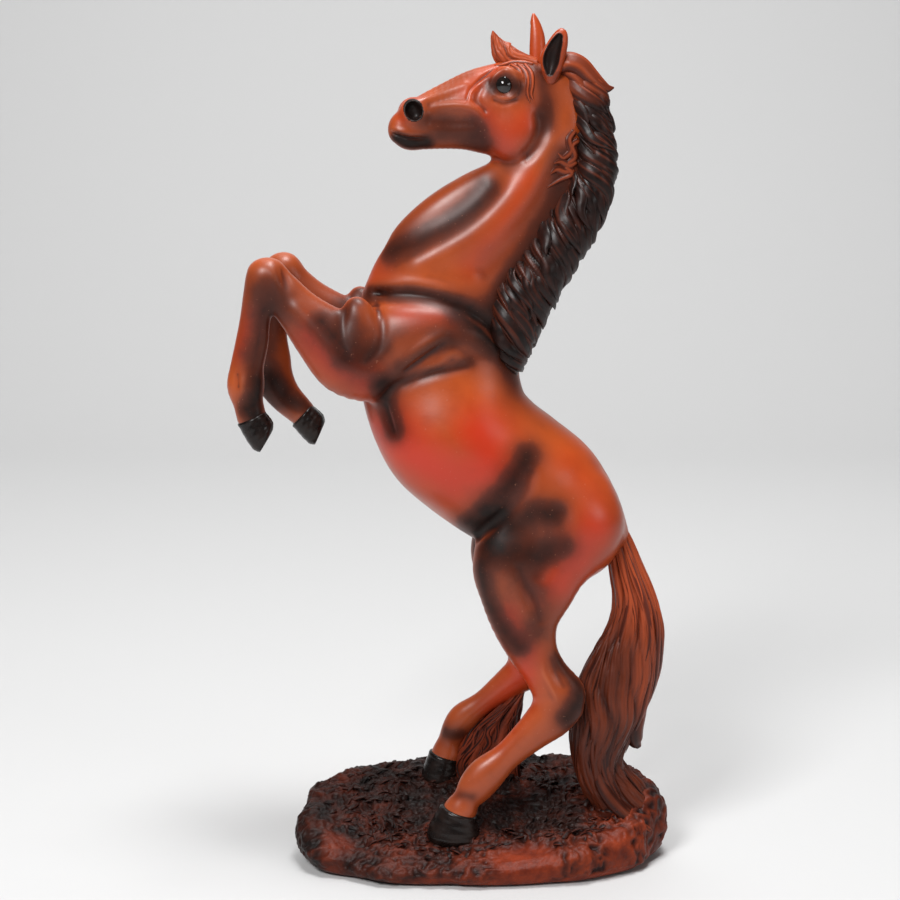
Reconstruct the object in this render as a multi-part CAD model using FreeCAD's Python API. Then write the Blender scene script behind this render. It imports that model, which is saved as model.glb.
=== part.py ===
# Rearing horse statue, cast in sections and assembled on a ground casting.
#
# The horse faces -X with its left side towards -Y, and +Z is up. The origin is the centre of the
# underside, on the surface that the statue stands on. Units are millimetres.
#
# The horse is cast as torso, neck, head, ears, hair and four legs with their hooves. Steel dowels key the
# castings together, two bent rods run up the hind legs, and a third rod stands in the tail. Each rod is
# held under the ground casting by a washer and a nut, and a felt pad covers them.

import FreeCAD, Part
import math
import os

from FreeCAD import Vector

# Driving dimensions
STATUE_HEIGHT = 400.0       # felt to the tip of the right ear
BASE_LENGTH = 174.0         # along X, at the widest level of the ground
BASE_DEPTH = 100.0          # along Y, at the widest level of the ground
GROUND_Z = 21.5             # ground level at the origin
GROUND_SLOPE_X = 0.05       # rise of the ground per millimetre towards +X
GROUND_SLOPE_Y = 0.24       # rise of the ground per millimetre towards +Y
GROUND_BANK = 8.0           # extra rise of the ground at its two ends
FELT_THICK = 1.0
FELT_INSET = 6.0
ROD_RADIUS = 2.0            # M4 studding
ROD_BEND_RADIUS = 7.0
NUT_ACROSS_FLATS = 7.0
NUT_HEIGHT = 3.2
WASHER_RADIUS = 4.5
WASHER_THICK = 0.8
POCKET_RADIUS = 6.0
POCKET_TOP = 7.0            # height of the ceiling of each nut pocket
DOWEL_RADIUS = 2.5
EYE_RADIUS = 3.7
CUP_SHARE = 0.62            # hollow of an ear against its thickness
HEAD_YAW = 8.0              # the head turns this far to the horse's left, in degrees
HEAD_PIVOT = Vector(34, 0, 360)
RING_POLES = 10             # poles round each section
RING_SHRINK = (2 + math.cos(2 * math.pi / RING_POLES)) / 3     # cubic curve against its ring of poles
FOOTPRINT_POINTS = 24

# Levels of the ground casting: height, share of the outline, share of the slope, share of the bank.
GROUND_LEVELS = [
    (FELT_THICK, 0.95, 0.0, 0.0),
    (4.0, 0.985, 0.1, 0.05),
    (9.0, 1.0, 0.3, 0.3),
    (14.0, 1.0, 0.55, 0.6),
    (18.5, 0.97, 0.8, 0.9),
    (21.0, 0.9, 1.0, 1.0),
    (GROUND_Z, 0.78, 1.0, 0.0),
]

# A section is (x, y, z, half depth, half width, tilt). Its width lies along Y. Its depth lies in the XZ
# plane, at the tilt in degrees from +X towards +Z.
SHOULDER_SEAM = (-19.5, 0, 259.5, 36.5, 22, -23.4)

TORSO = [
    SHOULDER_SEAM,
    (-18.5, 0, 243, 37.5, 25.5, -11),
    (-16.5, 0, 226, 37, 27, 6),
    (-11, 0, 210.5, 36.5, 29, 17),
    (-1, 0, 198.5, 36.5, 30, 22),
    (12.5, 0, 188, 36, 30, 26),
    (26, 0, 178, 34.5, 29, 25),
    (34.5, 0, 166.5, 33, 27, 16),
    (40, 0, 155, 29, 23, 9),
    (44, 0, 146, 20, 15, 6),
    (46, 0, 141.5, 9, 7, 4),
]

NECK = [
    SHOULDER_SEAM,
    (-14, 0, 272, 36.5, 19.5, -24),
    (-6, 0, 285, 35.5, 17, -25),
    (5, 0, 299, 32.5, 15, -26),
    (16.5, 0, 311.5, 28.5, 13.5, -24),
    (25, 0, 321.5, 24.5, 12.5, -16),
    (30, 0, 331, 22, 12, -5),
    (34, 0, 343, 17.5, 11, 5),
    (36, 0, 355, 14.5, 10, 8),
    (36, 0, 366, 11.5, 8.5, 15),
    (34.5, 0, 374, 7, 6, 20),
    (33.5, 0, 377, 2.5, 2.5, 20),
]

HEAD = [
    (29, 0, 360, 13, 9, 85),
    (22, 0, 357.5, 20, 12, 85),
    (13, 0, 356.3, 22, 13, 86),
    (4, 0, 356.2, 20.3, 11.5, 86),
    (-5, 0, 355.5, 17, 9.8, 84),
    (-15, 0, 353.8, 14.2, 8.3, 82),
    (-25, 0, 351.4, 12.2, 7.8, 80),
    (-32.5, 0, 349.6, 10, 7.3, 76),
    (-37.5, 0, 348.1, 6.8, 6, 72),
    (-40.3, 0, 347.4, 2.4, 2.6, 70),
]

# Each leg is an upper and a lower run of sections, which overlap at the knee or the hock.
LEFT_FORELEG = (
    [
        (-30, -14, 244, 14, 9, 80),
        (-46, -18, 244, 20, 11, 76),
        (-60, -20, 247, 19, 11, 66),
        (-71, -19.5, 256, 14.5, 9.5, 54),
        (-81, -19, 266, 11, 8.5, 48),
        (-89, -18.5, 275, 10, 7.8, 48),
        (-96, -18, 282.5, 9.5, 7.6, 48),
        (-101, -18, 287.5, 6, 5.4, 48),
    ],
    [
        (-95, -18, 289, 6, 6, -12),
        (-97, -18, 282, 8.5, 7.6, -12),
        (-99.4, -17.5, 272, 7.8, 7.2, -12),
        (-102.6, -17, 258, 7.1, 5.4, -12),
        (-105.7, -16.5, 243, 7.7, 5.2, -6),
        (-107.5, -16, 232, 8.4, 6.5, 5),
        (-106.6, -15.6, 224, 6.3, 5.4, 17),
        (-104.5, -15.5, 217.5, 6.8, 6.4, 24),
    ],
)

RIGHT_FORELEG = (
    [
        (-30, 14, 244, 14, 9, 80),
        (-46, 17.5, 245, 20, 11, 75),
        (-60, 18.5, 250.5, 16, 10.5, 64),
        (-70, 18, 259, 12.8, 9.3, 54),
        (-79, 17.5, 267, 10.5, 8.3, 50),
        (-86, 17, 274.5, 9.6, 7.7, 50),
        (-91.5, 16.5, 281, 9, 7.4, 50),
        (-95.5, 16.5, 286, 5.6, 5.2, 50),
    ],
    [
        (-90.5, 16.5, 288, 6, 6, -6),
        (-92, 16.5, 281, 8.5, 7.5, -6),
        (-94.4, 16.5, 270, 7.6, 7, -4),
        (-96.1, 16, 256, 7.2, 5.3, -1),
        (-95.8, 15.5, 241, 7.7, 5.2, 5),
        (-93.8, 15, 230, 8.3, 6.4, 18),
        (-89.2, 14.6, 221.5, 6.8, 5.3, 38),
        (-83.6, 14.5, 214, 6.6, 6.4, 48),
    ],
)

LEFT_HIND_LEG = (
    [
        (36, -12, 176, 22, 10, 14),
        (31, -15, 163, 27, 13, 10),
        (27, -17, 149, 27, 13.5, 4),
        (23.5, -18.5, 135, 23, 12.5, 0),
        (22, -20, 121, 16.5, 10.8, 2),
        (26, -21, 107, 12, 8.8, 18),
        (32.5, -21.5, 95, 10.6, 7.8, 22),
        (38.5, -22, 85, 12, 7.6, 16),
        (41.5, -22, 76.5, 7, 5.5, 14),
    ],
    [
        (43, -22, 84, 8, 6.5, -48),
        (36, -22, 76.5, 10.6, 7.2, -47),
        (25.3, -22.4, 66.3, 8.6, 5.9, -48),
        (12.5, -23, 54.5, 7, 5.2, -48),
        (2, -23.4, 45, 8.4, 6.7, -46),
        (-5, -24, 36, 6.9, 6.2, -32),
        (-8, -24, 29, 8.4, 7.5, -18),
    ],
)

RIGHT_HIND_LEG = (
    [
        (36, 12, 176, 22, 10, 14),
        (30, 15, 163, 26, 13, 10),
        (25, 17, 149, 26, 13.5, 4),
        (21, 18.5, 136, 22, 12.5, 0),
        (18, 19.5, 123, 16, 10.8, 2),
        (19, 20.5, 110, 12, 8.8, 12),
        (23, 21, 99, 10, 7.8, 20),
        (27, 21.5, 90, 9.8, 7.6, 20),
        (30, 22, 82.5, 6, 5.5, 18),
    ],
    [
        (32, 21.5, 90.5, 7.5, 6.5, -55),
        (23.5, 22, 83.5, 9.4, 7.2, -54),
        (13, 23, 75, 7.6, 5.9, -52),
        (2, 24, 66, 6.4, 5.2, -50),
        (-8, 25.5, 56.8, 8.2, 6.7, -44),
        (-12.8, 26.5, 48, 6.6, 6, -28),
        (-14.8, 27, 41, 7.9, 7.3, -16),
    ],
)

# Each hoof runs from the last section of its leg to its sole.
SOLES = {
    "left_fore": (-97.8, -15.5, 206.2, 8.8, 8, 58),
    "right_fore": (-76, 14.5, 205.4, 8.8, 8, 66),
    "left_hind": (-13, -24, 13.5, 13.6, 10, -4),
    "right_hind": (-18, 27, 25.5, 10.2, 9, -4),
}

TAIL = [
    (61, 0, 165, 5, 5, 42),
    (67.5, 0, 153.5, 7, 6.5, 36),
    (72.5, -1, 140, 9, 7.5, 22),
    (76, -2, 126, 11, 9, 6),
    (76.2, -3, 112, 14, 10, -6),
    (72.5, -4, 99, 16.6, 11, -14),
    (67.8, -5, 86, 18, 12, -12),
    (63.8, -6, 73, 18.5, 12.5, -4),
    (60.5, -6, 60, 17, 12.5, 2),
    (58.5, -5, 48, 12.6, 11.5, 6),
    (62.5, -4, 38, 13, 12, 22),
    (70, -4, 29, 13.5, 13, 34),
    (77, -4, 18, 12, 13, 40),
]

MANE = [
    (41, -1, 378.5, 3, 3, 45),
    (49, -2, 368.5, 9, 5, -10),
    (51.5, -3, 355, 7.5, 7, 5),
    (53.5, -4, 340, 8.6, 8.5, 0),
    (52.5, -5, 325, 8.6, 9.5, -10),
    (47.5, -6, 310, 9.2, 10, -25),
    (39.5, -7, 296, 8.6, 10.5, -28),
    (31, -8, 282, 8, 10.5, -28),
    (24, -8, 268, 7.6, 10, -25),
    (18.5, -7, 254, 6.6, 8.5, -20),
    (15.5, -5, 242, 4.8, 6, -15),
    (15.5, -3, 233.5, 2, 2.5, -10),
]

FORELOCK = [
    (27, 0, 376.5, 3.6, 5, 98),
    (19, 0, 378.6, 4.2, 5.8, 86),
    (13, -0.5, 380.6, 5.4, 5, 62),
    (9.4, -1, 383.6, 4.6, 3.6, 38),
    (7.2, -1.2, 387.4, 2.4, 2, 15),
    (5.8, -1.3, 391.5, 0.5, 0.5, 5),
]

# Clump of grass behind the right fetlock, which props the leg.
SUPPORT_TUFT = [
    (9, 25, 18, 16, 10, 0),
    (8, 25, 30, 15, 9, 0),
    (8.5, 24.5, 42, 13.5, 7.5, 10),
    (11.5, 24, 53, 11.5, 6.5, 18),
    (16, 23.5, 63, 8.5, 5.5, 26),
    (20.5, 23, 72, 4.5, 3.7, 28),
]

# An ear runs from its root in the head to its tip, and its width faces outwards.
EARS = {
    "left": [
        (32, -7, 369.5, 3.6, 3.2, 0),
        (33, -8, 375, 4.6, 3.6, 0),
        (34.3, -8.8, 381, 5.7, 3.6, 4),
        (35.6, -9.3, 387, 5, 2.9, 8),
        (36.8, -9.6, 391, 2.6, 1.8, 8),
        (37.4, -9.7, 392.8, 0.5, 0.5, 8),
    ],
    "right": [
        (27.5, 6, 373, 3.6, 3.2, 0),
        (27.3, 7, 379, 4.2, 3.6, 0),
        (27.1, 7.8, 386, 4.4, 3.8, 0),
        (26.5, 8.2, 392, 3.5, 3.2, 0),
        (25.4, 8.4, 397, 1.6, 1.9, 0),
        (25, 8.5, STATUE_HEIGHT, 0.4, 0.4, 0),
    ],
}

EYES = {"left": Vector(11, -9.4, 368), "right": Vector(11, 9.4, 368)}

# Bends of each hind-leg rod, from its nut up into the torso.
LEG_RODS = {
    "left": [(-11, -24), (-11, -24, 31), (10, -23, 51.5), (35, -22, 75), (31.5, -21, 98), (23, -19, 124),
             (30, -14, 165)],
    "right": [(-16.5, 27), (-16.5, 27, 43), (-8, 25, 58), (24.5, 21.5, 80), (22, 21, 100), (19.5, 19, 124),
              (30, 14, 165)],
}
TAIL_ROD = (61, -4.5)
TAIL_ROD_TOP = 72.0

DOWELS = {
    "neck": ((-24.3, 0, 247), (-14.7, 0, 272)),
    "tail": ((57, 0, 168), (69.5, 0, 150)),
    "left_foreleg": ((-40, -15, 243), (-68, -19.5, 253.5)),
    "right_foreleg": ((-40, 15, 243), (-68, 18, 256)),
}


def ring(section):
    """Ring of poles for one section."""
    x, y, z, half_depth, half_width, tilt = section
    slope = math.radians(tilt)
    depth_axis = Vector(math.cos(slope), 0, math.sin(slope)) * (half_depth / RING_SHRINK)
    width_axis = Vector(0, half_width / RING_SHRINK, 0)
    turns = [2 * math.pi * i / RING_POLES for i in range(RING_POLES)]
    return [Vector(x, y, z) + depth_axis * math.cos(t) + width_axis * math.sin(t) for t in turns]


def skin(rings):
    """Solid bounded by a smooth surface along the rings and by a flat face at each end."""
    degree = min(3, len(rings) - 1)
    spans = len(rings) - degree
    surface = Part.BSplineSurface()
    surface.buildFromPolesMultsKnots(
        rings,
        [degree + 1] + [1] * (spans - 1) + [degree + 1],
        [1] * (RING_POLES + 1),
        list(range(spans + 1)),
        list(range(RING_POLES + 1)),
        False, True, degree, 3)
    side = surface.toShape()
    ends = [Part.Face(Part.Wire(surface.uIso(u).toShape())) for u in (0, spans)]
    shell = Part.makeShell([side] + ends)
    shell.sewShape()
    return Part.makeSolid(Part.Shell(shell.Faces))


def loft(sections):
    """Solid along one run of sections."""
    solid = skin([ring(s) for s in sections])
    if solid.Volume < 0:
        solid.reverse()
    return solid


def limb(runs):
    """Leg of two runs, joined where they overlap."""
    upper, lower = runs
    return loft(upper).fuse(loft(lower))


def only_solids(shape):
    """The solids of a Boolean's result, without slivers, as one shape."""
    solids = [s for s in shape.Solids if s.Volume > 1.0]
    return solids[0] if len(solids) == 1 else Part.makeCompound(solids)


def cut(shape, *tools):
    """The shape without the tools."""
    for tool in tools:
        shape = shape.cut(tool)
    return only_solids(shape)


def largest(shape):
    """The largest solid of a shape."""
    return max(shape.Solids, key=lambda s: s.Volume)


def turned_head(shape):
    """A piece of the head, turned with it to the horse's left."""
    turned = shape.copy()
    turned.rotate(HEAD_PIVOT, Vector(0, 0, 1), HEAD_YAW)
    return turned


def bar(start, end, radius):
    """Round bar between two points."""
    start = Vector(*start)
    along = Vector(*end) - start
    return Part.makeCylinder(radius, along.Length, start, along)


def bent_rod(points, radius):
    """Round rod along straight runs joined by tangent arcs."""
    points = [Vector(*p) for p in points]
    edges = []
    here = points[0]
    for before, corner, after in zip(points, points[1:], points[2:]):
        back = (before - corner).normalize()
        ahead = (after - corner).normalize()
        half = back.getAngle(ahead) / 2
        reach = ROD_BEND_RADIUS / math.tan(half)
        to_centre = (back + ahead).normalize() * (ROD_BEND_RADIUS / math.sin(half))
        centre = corner + to_centre
        first = corner + back * reach
        last = corner + ahead * reach
        middle = centre - to_centre.normalize() * ROD_BEND_RADIUS
        edges.append(Part.LineSegment(here, first).toShape())
        edges.append(Part.Arc(first, middle, last).toShape())
        here = last
    edges.append(Part.LineSegment(here, points[-1]).toShape())
    path = Part.Wire(edges)
    start_way = points[1] - points[0]
    profile = Part.Wire(Part.makeCircle(radius, points[0], start_way))
    return path.makePipeShell([profile], True, False)


def footprint(z, share, rise=0.0, bank=0.0):
    """Outline of the ground casting at a level. share scales it, rise tilts it, and bank lifts its ends."""
    points = []
    for i in range(FOOTPRINT_POINTS):
        turn = 2 * math.pi * i / FOOTPRINT_POINTS
        lobe = 1 + 0.02 * math.cos(3 * turn + 0.8) + 0.014 * math.cos(7 * turn)
        x = BASE_LENGTH / 2 * share * lobe * math.copysign(abs(math.cos(turn)) ** 0.86, math.cos(turn))
        y = BASE_DEPTH / 2 * share * lobe * math.copysign(abs(math.sin(turn)) ** 0.86, math.sin(turn))
        lift = rise * (GROUND_SLOPE_X * x + GROUND_SLOPE_Y * y) + bank * GROUND_BANK * math.cos(turn) ** 4
        points.append(Vector(x, y, z + lift))
    curve = Part.BSplineCurve()
    curve.interpolate(points, True)
    return Part.Wire(curve.toShape())


def ground_blank():
    """The ground casting before its holes: a low mound with steep sides and raised ends."""
    return Part.makeLoft([footprint(*level) for level in GROUND_LEVELS], True, False)


def felt_pad():
    """Felt under the ground casting, set in from its edge."""
    share = GROUND_LEVELS[0][1] - FELT_INSET / (BASE_DEPTH / 2)
    face = Part.Face(footprint(0, share))
    return face.extrude(Vector(0, 0, FELT_THICK))


def rod_feet():
    """Places of the three rods in the ground casting."""
    return [LEG_RODS["left"][0], LEG_RODS["right"][0], TAIL_ROD]


def nut_pocket(foot):
    """Room for a washer and a nut in the underside, with the rod's hole above it."""
    return Part.makeCylinder(POCKET_RADIUS, POCKET_TOP - FELT_THICK, Vector(*foot, FELT_THICK))


def washer(foot):
    """Washer against the ceiling of its pocket."""
    low = Vector(*foot, POCKET_TOP - WASHER_THICK)
    return Part.makeCylinder(WASHER_RADIUS, WASHER_THICK, low).cut(
        Part.makeCylinder(ROD_RADIUS, WASHER_THICK, low))


def nut(foot):
    """Hexagonal nut under its washer."""
    low = Vector(*foot, POCKET_TOP - WASHER_THICK - NUT_HEIGHT)
    corner = NUT_ACROSS_FLATS / math.sqrt(3)
    corners = [low + Vector(math.cos(math.radians(60 * i)), math.sin(math.radians(60 * i)), 0) * corner
               for i in range(7)]
    blank = Part.Face(Part.makePolygon(corners)).extrude(Vector(0, 0, NUT_HEIGHT))
    return blank.cut(Part.makeCylinder(ROD_RADIUS, NUT_HEIGHT, low))


def ear(side):
    """Ear with its cup hollowed out on the outer face."""
    blank = loft(EARS[side])
    out = -1 if side == "left" else 1
    cup = []
    for x, y, z, half_depth, half_width, tilt in EARS[side][1:5]:
        cup.append((x, y + out * half_width, z, half_depth * CUP_SHARE, half_width * CUP_SHARE, tilt))
    return largest(blank.cut(loft(cup)))


def rod_path(side):
    """Bends of a hind-leg rod, with its foot in the nut pocket."""
    foot, *bends = LEG_RODS[side]
    return [(*foot, FELT_THICK + 1)] + bends


def build():
    """Every sub-part by its node's name."""
    parts = {}
    rods = {side + "_leg_rod": bent_rod(rod_path(side), ROD_RADIUS) for side in LEG_RODS}
    rods["tail_rod"] = bar((*TAIL_ROD, FELT_THICK + 1), (*TAIL_ROD, TAIL_ROD_TOP), ROD_RADIUS)
    dowels = {name + "_dowel": bar(*ends, DOWEL_RADIUS) for name, ends in DOWELS.items()}
    eyes = {side + "_eye": turned_head(Part.makeSphere(EYE_RADIUS, place)) for side, place in EYES.items()}

    torso = loft(TORSO)
    neck = loft(NECK)
    head = cut(turned_head(loft(HEAD)), neck)
    ground = ground_blank()
    leg_rods = [rods["left_leg_rod"], rods["right_leg_rod"]]

    parts["ground_casting"] = cut(ground, *rods.values(), *[nut_pocket(f) for f in rod_feet()])
    parts["torso"] = cut(torso, *leg_rods, *dowels.values())
    parts["neck"] = cut(neck, dowels["neck_dowel"])
    parts["head"] = cut(head, *eyes.values())

    forelegs = {"left": LEFT_FORELEG, "right": RIGHT_FORELEG}
    hind_legs = {"left": LEFT_HIND_LEG, "right": RIGHT_HIND_LEG}
    for side in ("left", "right"):
        foreleg = cut(limb(forelegs[side]), torso, neck, dowels[side + "_foreleg_dowel"])
        parts[side + "_foreleg"] = largest(foreleg)
        parts[side + "_fore_hoof"] = loft([forelegs[side][1][-1], SOLES[side + "_fore"]])
        rod = rods[side + "_leg_rod"]
        parts[side + "_hind_leg"] = largest(cut(limb(hind_legs[side]), torso, ground, rod))
        hoof = loft([hind_legs[side][1][-1], SOLES[side + "_hind"]])
        parts[side + "_hind_hoof"] = largest(cut(hoof, ground, rod))
        parts[side + "_ear"] = largest(cut(turned_head(ear(side)), head, neck))

    parts["support_tuft"] = largest(cut(loft(SUPPORT_TUFT), parts["right_hind_leg"], ground))
    hair_neighbours = [neck, torso, head, parts["left_ear"], parts["right_ear"]]
    parts["mane"] = largest(cut(loft(MANE), *hair_neighbours))
    parts["forelock"] = largest(cut(turned_head(loft(FORELOCK)), *hair_neighbours, parts["mane"]))
    tail = cut(loft(TAIL), torso, ground, parts["left_hind_leg"], rods["tail_rod"], dowels["tail_dowel"])
    parts["tail"] = largest(tail)

    parts.update(eyes)
    parts.update(rods)
    parts.update(dowels)
    parts["rod_washers"] = Part.makeCompound([washer(f) for f in rod_feet()])
    parts["rod_nuts"] = Part.makeCompound([nut(f) for f in rod_feet()])
    parts["felt_pad"] = felt_pad()
    return parts


def main():
    os.makedirs("parts", exist_ok=True)
    for name, shape in sorted(build().items()):
        shape.exportStep(f"parts/{name}.step")
        box = shape.BoundBox
        spans = " ".join(f"{low:6.1f} to {high:6.1f}" for low, high in
                         ((box.XMin, box.XMax), (box.YMin, box.YMax), (box.ZMin, box.ZMax)))
        state = f"solids {len(shape.Solids)} valid {shape.isValid()}"
        print(f"{name:20s} {state} volume {shape.Volume:9.0f} {spans}")


main()
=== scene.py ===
import math

import bpy
import numpy as np
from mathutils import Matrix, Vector


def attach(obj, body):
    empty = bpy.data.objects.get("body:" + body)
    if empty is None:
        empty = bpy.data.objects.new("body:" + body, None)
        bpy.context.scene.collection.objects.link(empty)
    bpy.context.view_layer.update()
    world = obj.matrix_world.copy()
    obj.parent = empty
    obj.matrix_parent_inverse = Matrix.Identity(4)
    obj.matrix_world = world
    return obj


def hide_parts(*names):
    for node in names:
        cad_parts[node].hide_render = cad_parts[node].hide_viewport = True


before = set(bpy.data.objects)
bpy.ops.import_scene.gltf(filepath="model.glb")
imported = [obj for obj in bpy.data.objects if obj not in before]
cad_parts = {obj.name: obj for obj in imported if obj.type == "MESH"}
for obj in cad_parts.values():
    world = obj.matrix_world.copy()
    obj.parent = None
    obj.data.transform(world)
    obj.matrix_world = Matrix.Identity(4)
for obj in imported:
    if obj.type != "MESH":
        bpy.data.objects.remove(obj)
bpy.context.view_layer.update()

# Everything below is in millimetres and degrees, in the frame's own axes, until a mesh is made.
# The horse faces -X and its left side faces -Y.
MM = 0.001
BODY_STEP, HEAD_STEP, EAR_STEP, EYE_STEP = 0.75, 0.46, 0.45, 0.4  # spacing of the sculpting grids
BLOCK = 10                  # grid points along the side of a block
FAR = 30.0                  # distance given to points with no clay near them
OVERLAP = 1.2               # how far the castings run into each other
HEAD_YAW = math.radians(8)
HEAD_PIVOT = np.array([34.0, 0.0, 360.0])
THROAT_Z = 331.8
VIEWPOINT = np.array([-12.8, -981.6, 389.4])
SKIN_REACH, SKIN_STEPS = 45, 260    # how the skin is looked for along a line of sight

# A section is (x, y, z, half depth, half width, tilt): its width lies along Y, and its depth lies in the XZ
# plane at the tilt in degrees from +X towards +Z.
TORSO = [
    (-19.5, 0, 259.5, 36.5, 21, -23.4), (-18.5, 0, 243, 37.5, 24.5, -11), (-16.5, 0, 226, 37, 27, 6),
    (-11, 0, 210.5, 36.5, 29, 17), (-1, 0, 198.5, 36, 30, 22), (12.5, 0, 188, 35.5, 30, 26),
    (26, 0, 178, 34.5, 29, 25), (34, 0, 166.5, 33, 26, 16), (40, 0, 156, 28, 22, 9),
]
NECK = [
    (-19.5, 0, 259.5, 36.5, 21, -23.4), (-14, 0, 272, 36.5, 19.5, -24), (-6.4, 0, 285.4, 36.4, 17, -25),
    (4.4, 0, 299.4, 33.4, 15, -26), (16.2, 0, 311.7, 29, 13.5, -24), (25, 0, 321.5, 24.5, 12.5, -16),
    (30, 0, 331, 22, 12, -5), (34, 0, 343, 17.5, 11, 5), (36, 0, 355, 14.5, 10, 8),
    (36, 0, 366, 11.5, 8.5, 15),
]
HEAD = [
    (29, 0, 361, 14, 9, 85), (22, 0, 358.6, 20, 11.4, 85), (13, 0, 357, 21.6, 12.2, 86),
    (4, 0, 356.8, 20, 11, 86), (-5, 0, 356.6, 17.9, 9.2, 84), (-15, 0, 354.6, 15.5, 7.6, 82),
    (-25, 0, 351.9, 13, 7.2, 80), (-31, 0, 350.2, 10.8, 7.4, 76), (-35, 0, 349, 7.8, 6.4, 72),
]
DOCK = [(56, 0, 171, 9, 8.5, 48), (63.6, 0, 161.5, 7, 7, 42), (68, 0, 155, 4.6, 5, 38)]
SHOULDER = [(-50, -16, 248, 21, 10, 80), (-35, -17.5, 252, 18.5, 10.5, 78), (-20, -17.5, 254.5, 15, 9.6, 74),
            (-6, -15.5, 253, 11, 8, 62), (5, -12, 248, 7, 6, 50)]
# A muscle is an ellipsoid on both sides, with its blend: elbow, hip, thigh and forearm, then cheek, brow
# and muzzle.
BODY_MUSCLES = [((-14, -12, 205, 26, 19, 26, 20), 10), ((46, -12, 165, 21, 15, 20, 20), 10),
                ((13, -19.5, 150, 14, 11, 17, -8), 8), ((-52, -7, 249, 12, 9, 17, 0), 4)]
HEAD_MUSCLES = [((15, -6.6, 347.6, 12.6, 7.4, 13.2), 3), ((13, -7.6, 368.5, 9, 5.4, 6.6, -12), 3),
                ((-29.5, -3.6, 354.6, 6.6, 4.6, 7, 20), 2.5)]
UPPER_ARM = (-54, -20.6, 259, 8.8, 7, 14.6, 8)
CHIN = (-31, 0, 343, 5.8, 4.8, 3.6)
# Each leg has an upper and a lower run.
LEFT_FORE = (
    [(-32, -13, 244, 16, 9, 80), (-46, -17, 244, 20, 11, 76), (-60, -19.5, 247, 18.5, 11, 66),
     (-71, -19.5, 256, 14.2, 9.5, 54), (-81, -19, 266, 10.6, 8.2, 48), (-89, -18.5, 275, 9.2, 7.2, 46),
     (-96, -18, 282, 9, 7.2, 44)],
    [(-96.5, -18, 283, 8.4, 7.4, -14), (-99.2, -17.6, 274, 7.7, 7.4, -12),
     (-101.7, -17.2, 263, 6.9, 5.6, -12), (-103.4, -16.8, 252, 7.5, 5, -10),
     (-105.8, -16.4, 241, 7.7, 5.2, -4), (-106.7, -16, 232, 8.6, 6.6, 6),
     (-105.8, -15.7, 224.3, 7, 5.5, 17), (-104.4, -15.5, 217.5, 6.8, 6.4, 24)],
)
RIGHT_FORE = (
    [(-32, 13, 244, 16, 9, 80), (-46, 16.5, 245, 20, 11, 75), (-60, 18.5, 250.5, 16.5, 10.5, 64),
     (-70, 18, 259, 12.8, 9.3, 54), (-79, 17.5, 267, 10.3, 8.2, 50), (-86, 17, 274.5, 9, 7.2, 48),
     (-91.5, 16.5, 281, 8.6, 7.2, 46)],
    [(-91.5, 16.5, 282, 8.2, 7.4, -6), (-94, 16.5, 272, 7.8, 7.2, -4), (-96.2, 16.2, 262, 7, 5.6, -2),
     (-97, 15.8, 251, 7.2, 5, 0), (-97, 15.4, 240, 8.8, 5.4, 6), (-96.4, 15, 231, 9.3, 6.6, 16),
     (-91.6, 14.7, 222.4, 8, 5.5, 34), (-83.6, 14.5, 214.2, 6.6, 6.4, 48)],
)
LEFT_HIND = (
    [(38, -10, 178, 20, 9, 16), (32, -14, 164, 26, 12.5, 10), (27, -16.5, 149, 26.5, 13.5, 4),
     (23.5, -18.5, 135, 22.5, 12.5, 0), (22, -20, 121, 16, 10.8, 2), (26, -21, 107, 11.6, 8.4, 16),
     (32.2, -21.5, 96, 10.4, 7.4, 22), (38.6, -21.8, 86.5, 12, 7.2, 15), (40.6, -21.8, 78, 9.4, 6.4, 8)],
    [(40.5, -22, 82, 7.6, 6.4, -48), (35.6, -22, 76, 10.8, 7, -46), (25.6, -22.4, 66.6, 8.5, 5.8, -48),
     (14.2, -22.8, 56, 6.8, 5, -48), (4.8, -23.3, 47.4, 8.7, 6.2, -46), (-0.6, -23.6, 41, 8.4, 6.4, -40),
     (-4.8, -24, 35, 6.6, 5.8, -30), (-7.9, -24, 29.4, 8, 7.2, -18)],
)
RIGHT_HIND = (
    [(38, 10, 178, 20, 9, 16), (31, 14, 164, 25.5, 12.5, 10), (25, 16.5, 149, 25.5, 13.5, 4),
     (21, 18.5, 136, 21.5, 12.5, 0), (18, 19.5, 123, 15.6, 10.8, 2), (19, 20.5, 110, 11.6, 8.4, 12),
     (22.6, 21, 99.5, 9.6, 7.2, 18), (26.4, 21.5, 90.5, 9.4, 7, 16), (28, 21.8, 83, 7.4, 6.2, 10)],
    [(30, 21.6, 88.6, 7.4, 6.4, -55), (23.5, 22, 83.5, 9, 6.8, -54), (13, 23, 75, 7.2, 5.6, -52),
     (3.5, 24, 67.2, 5.8, 4.8, -50), (-5.5, 25.2, 59.4, 7.4, 6, -46), (-9.6, 25.8, 53.6, 7, 6.3, -38),
     (-12.6, 26.5, 46.4, 6.2, 5.6, -26), (-14.6, 27, 39.4, 7.6, 7.2, -16)],
)

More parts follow.
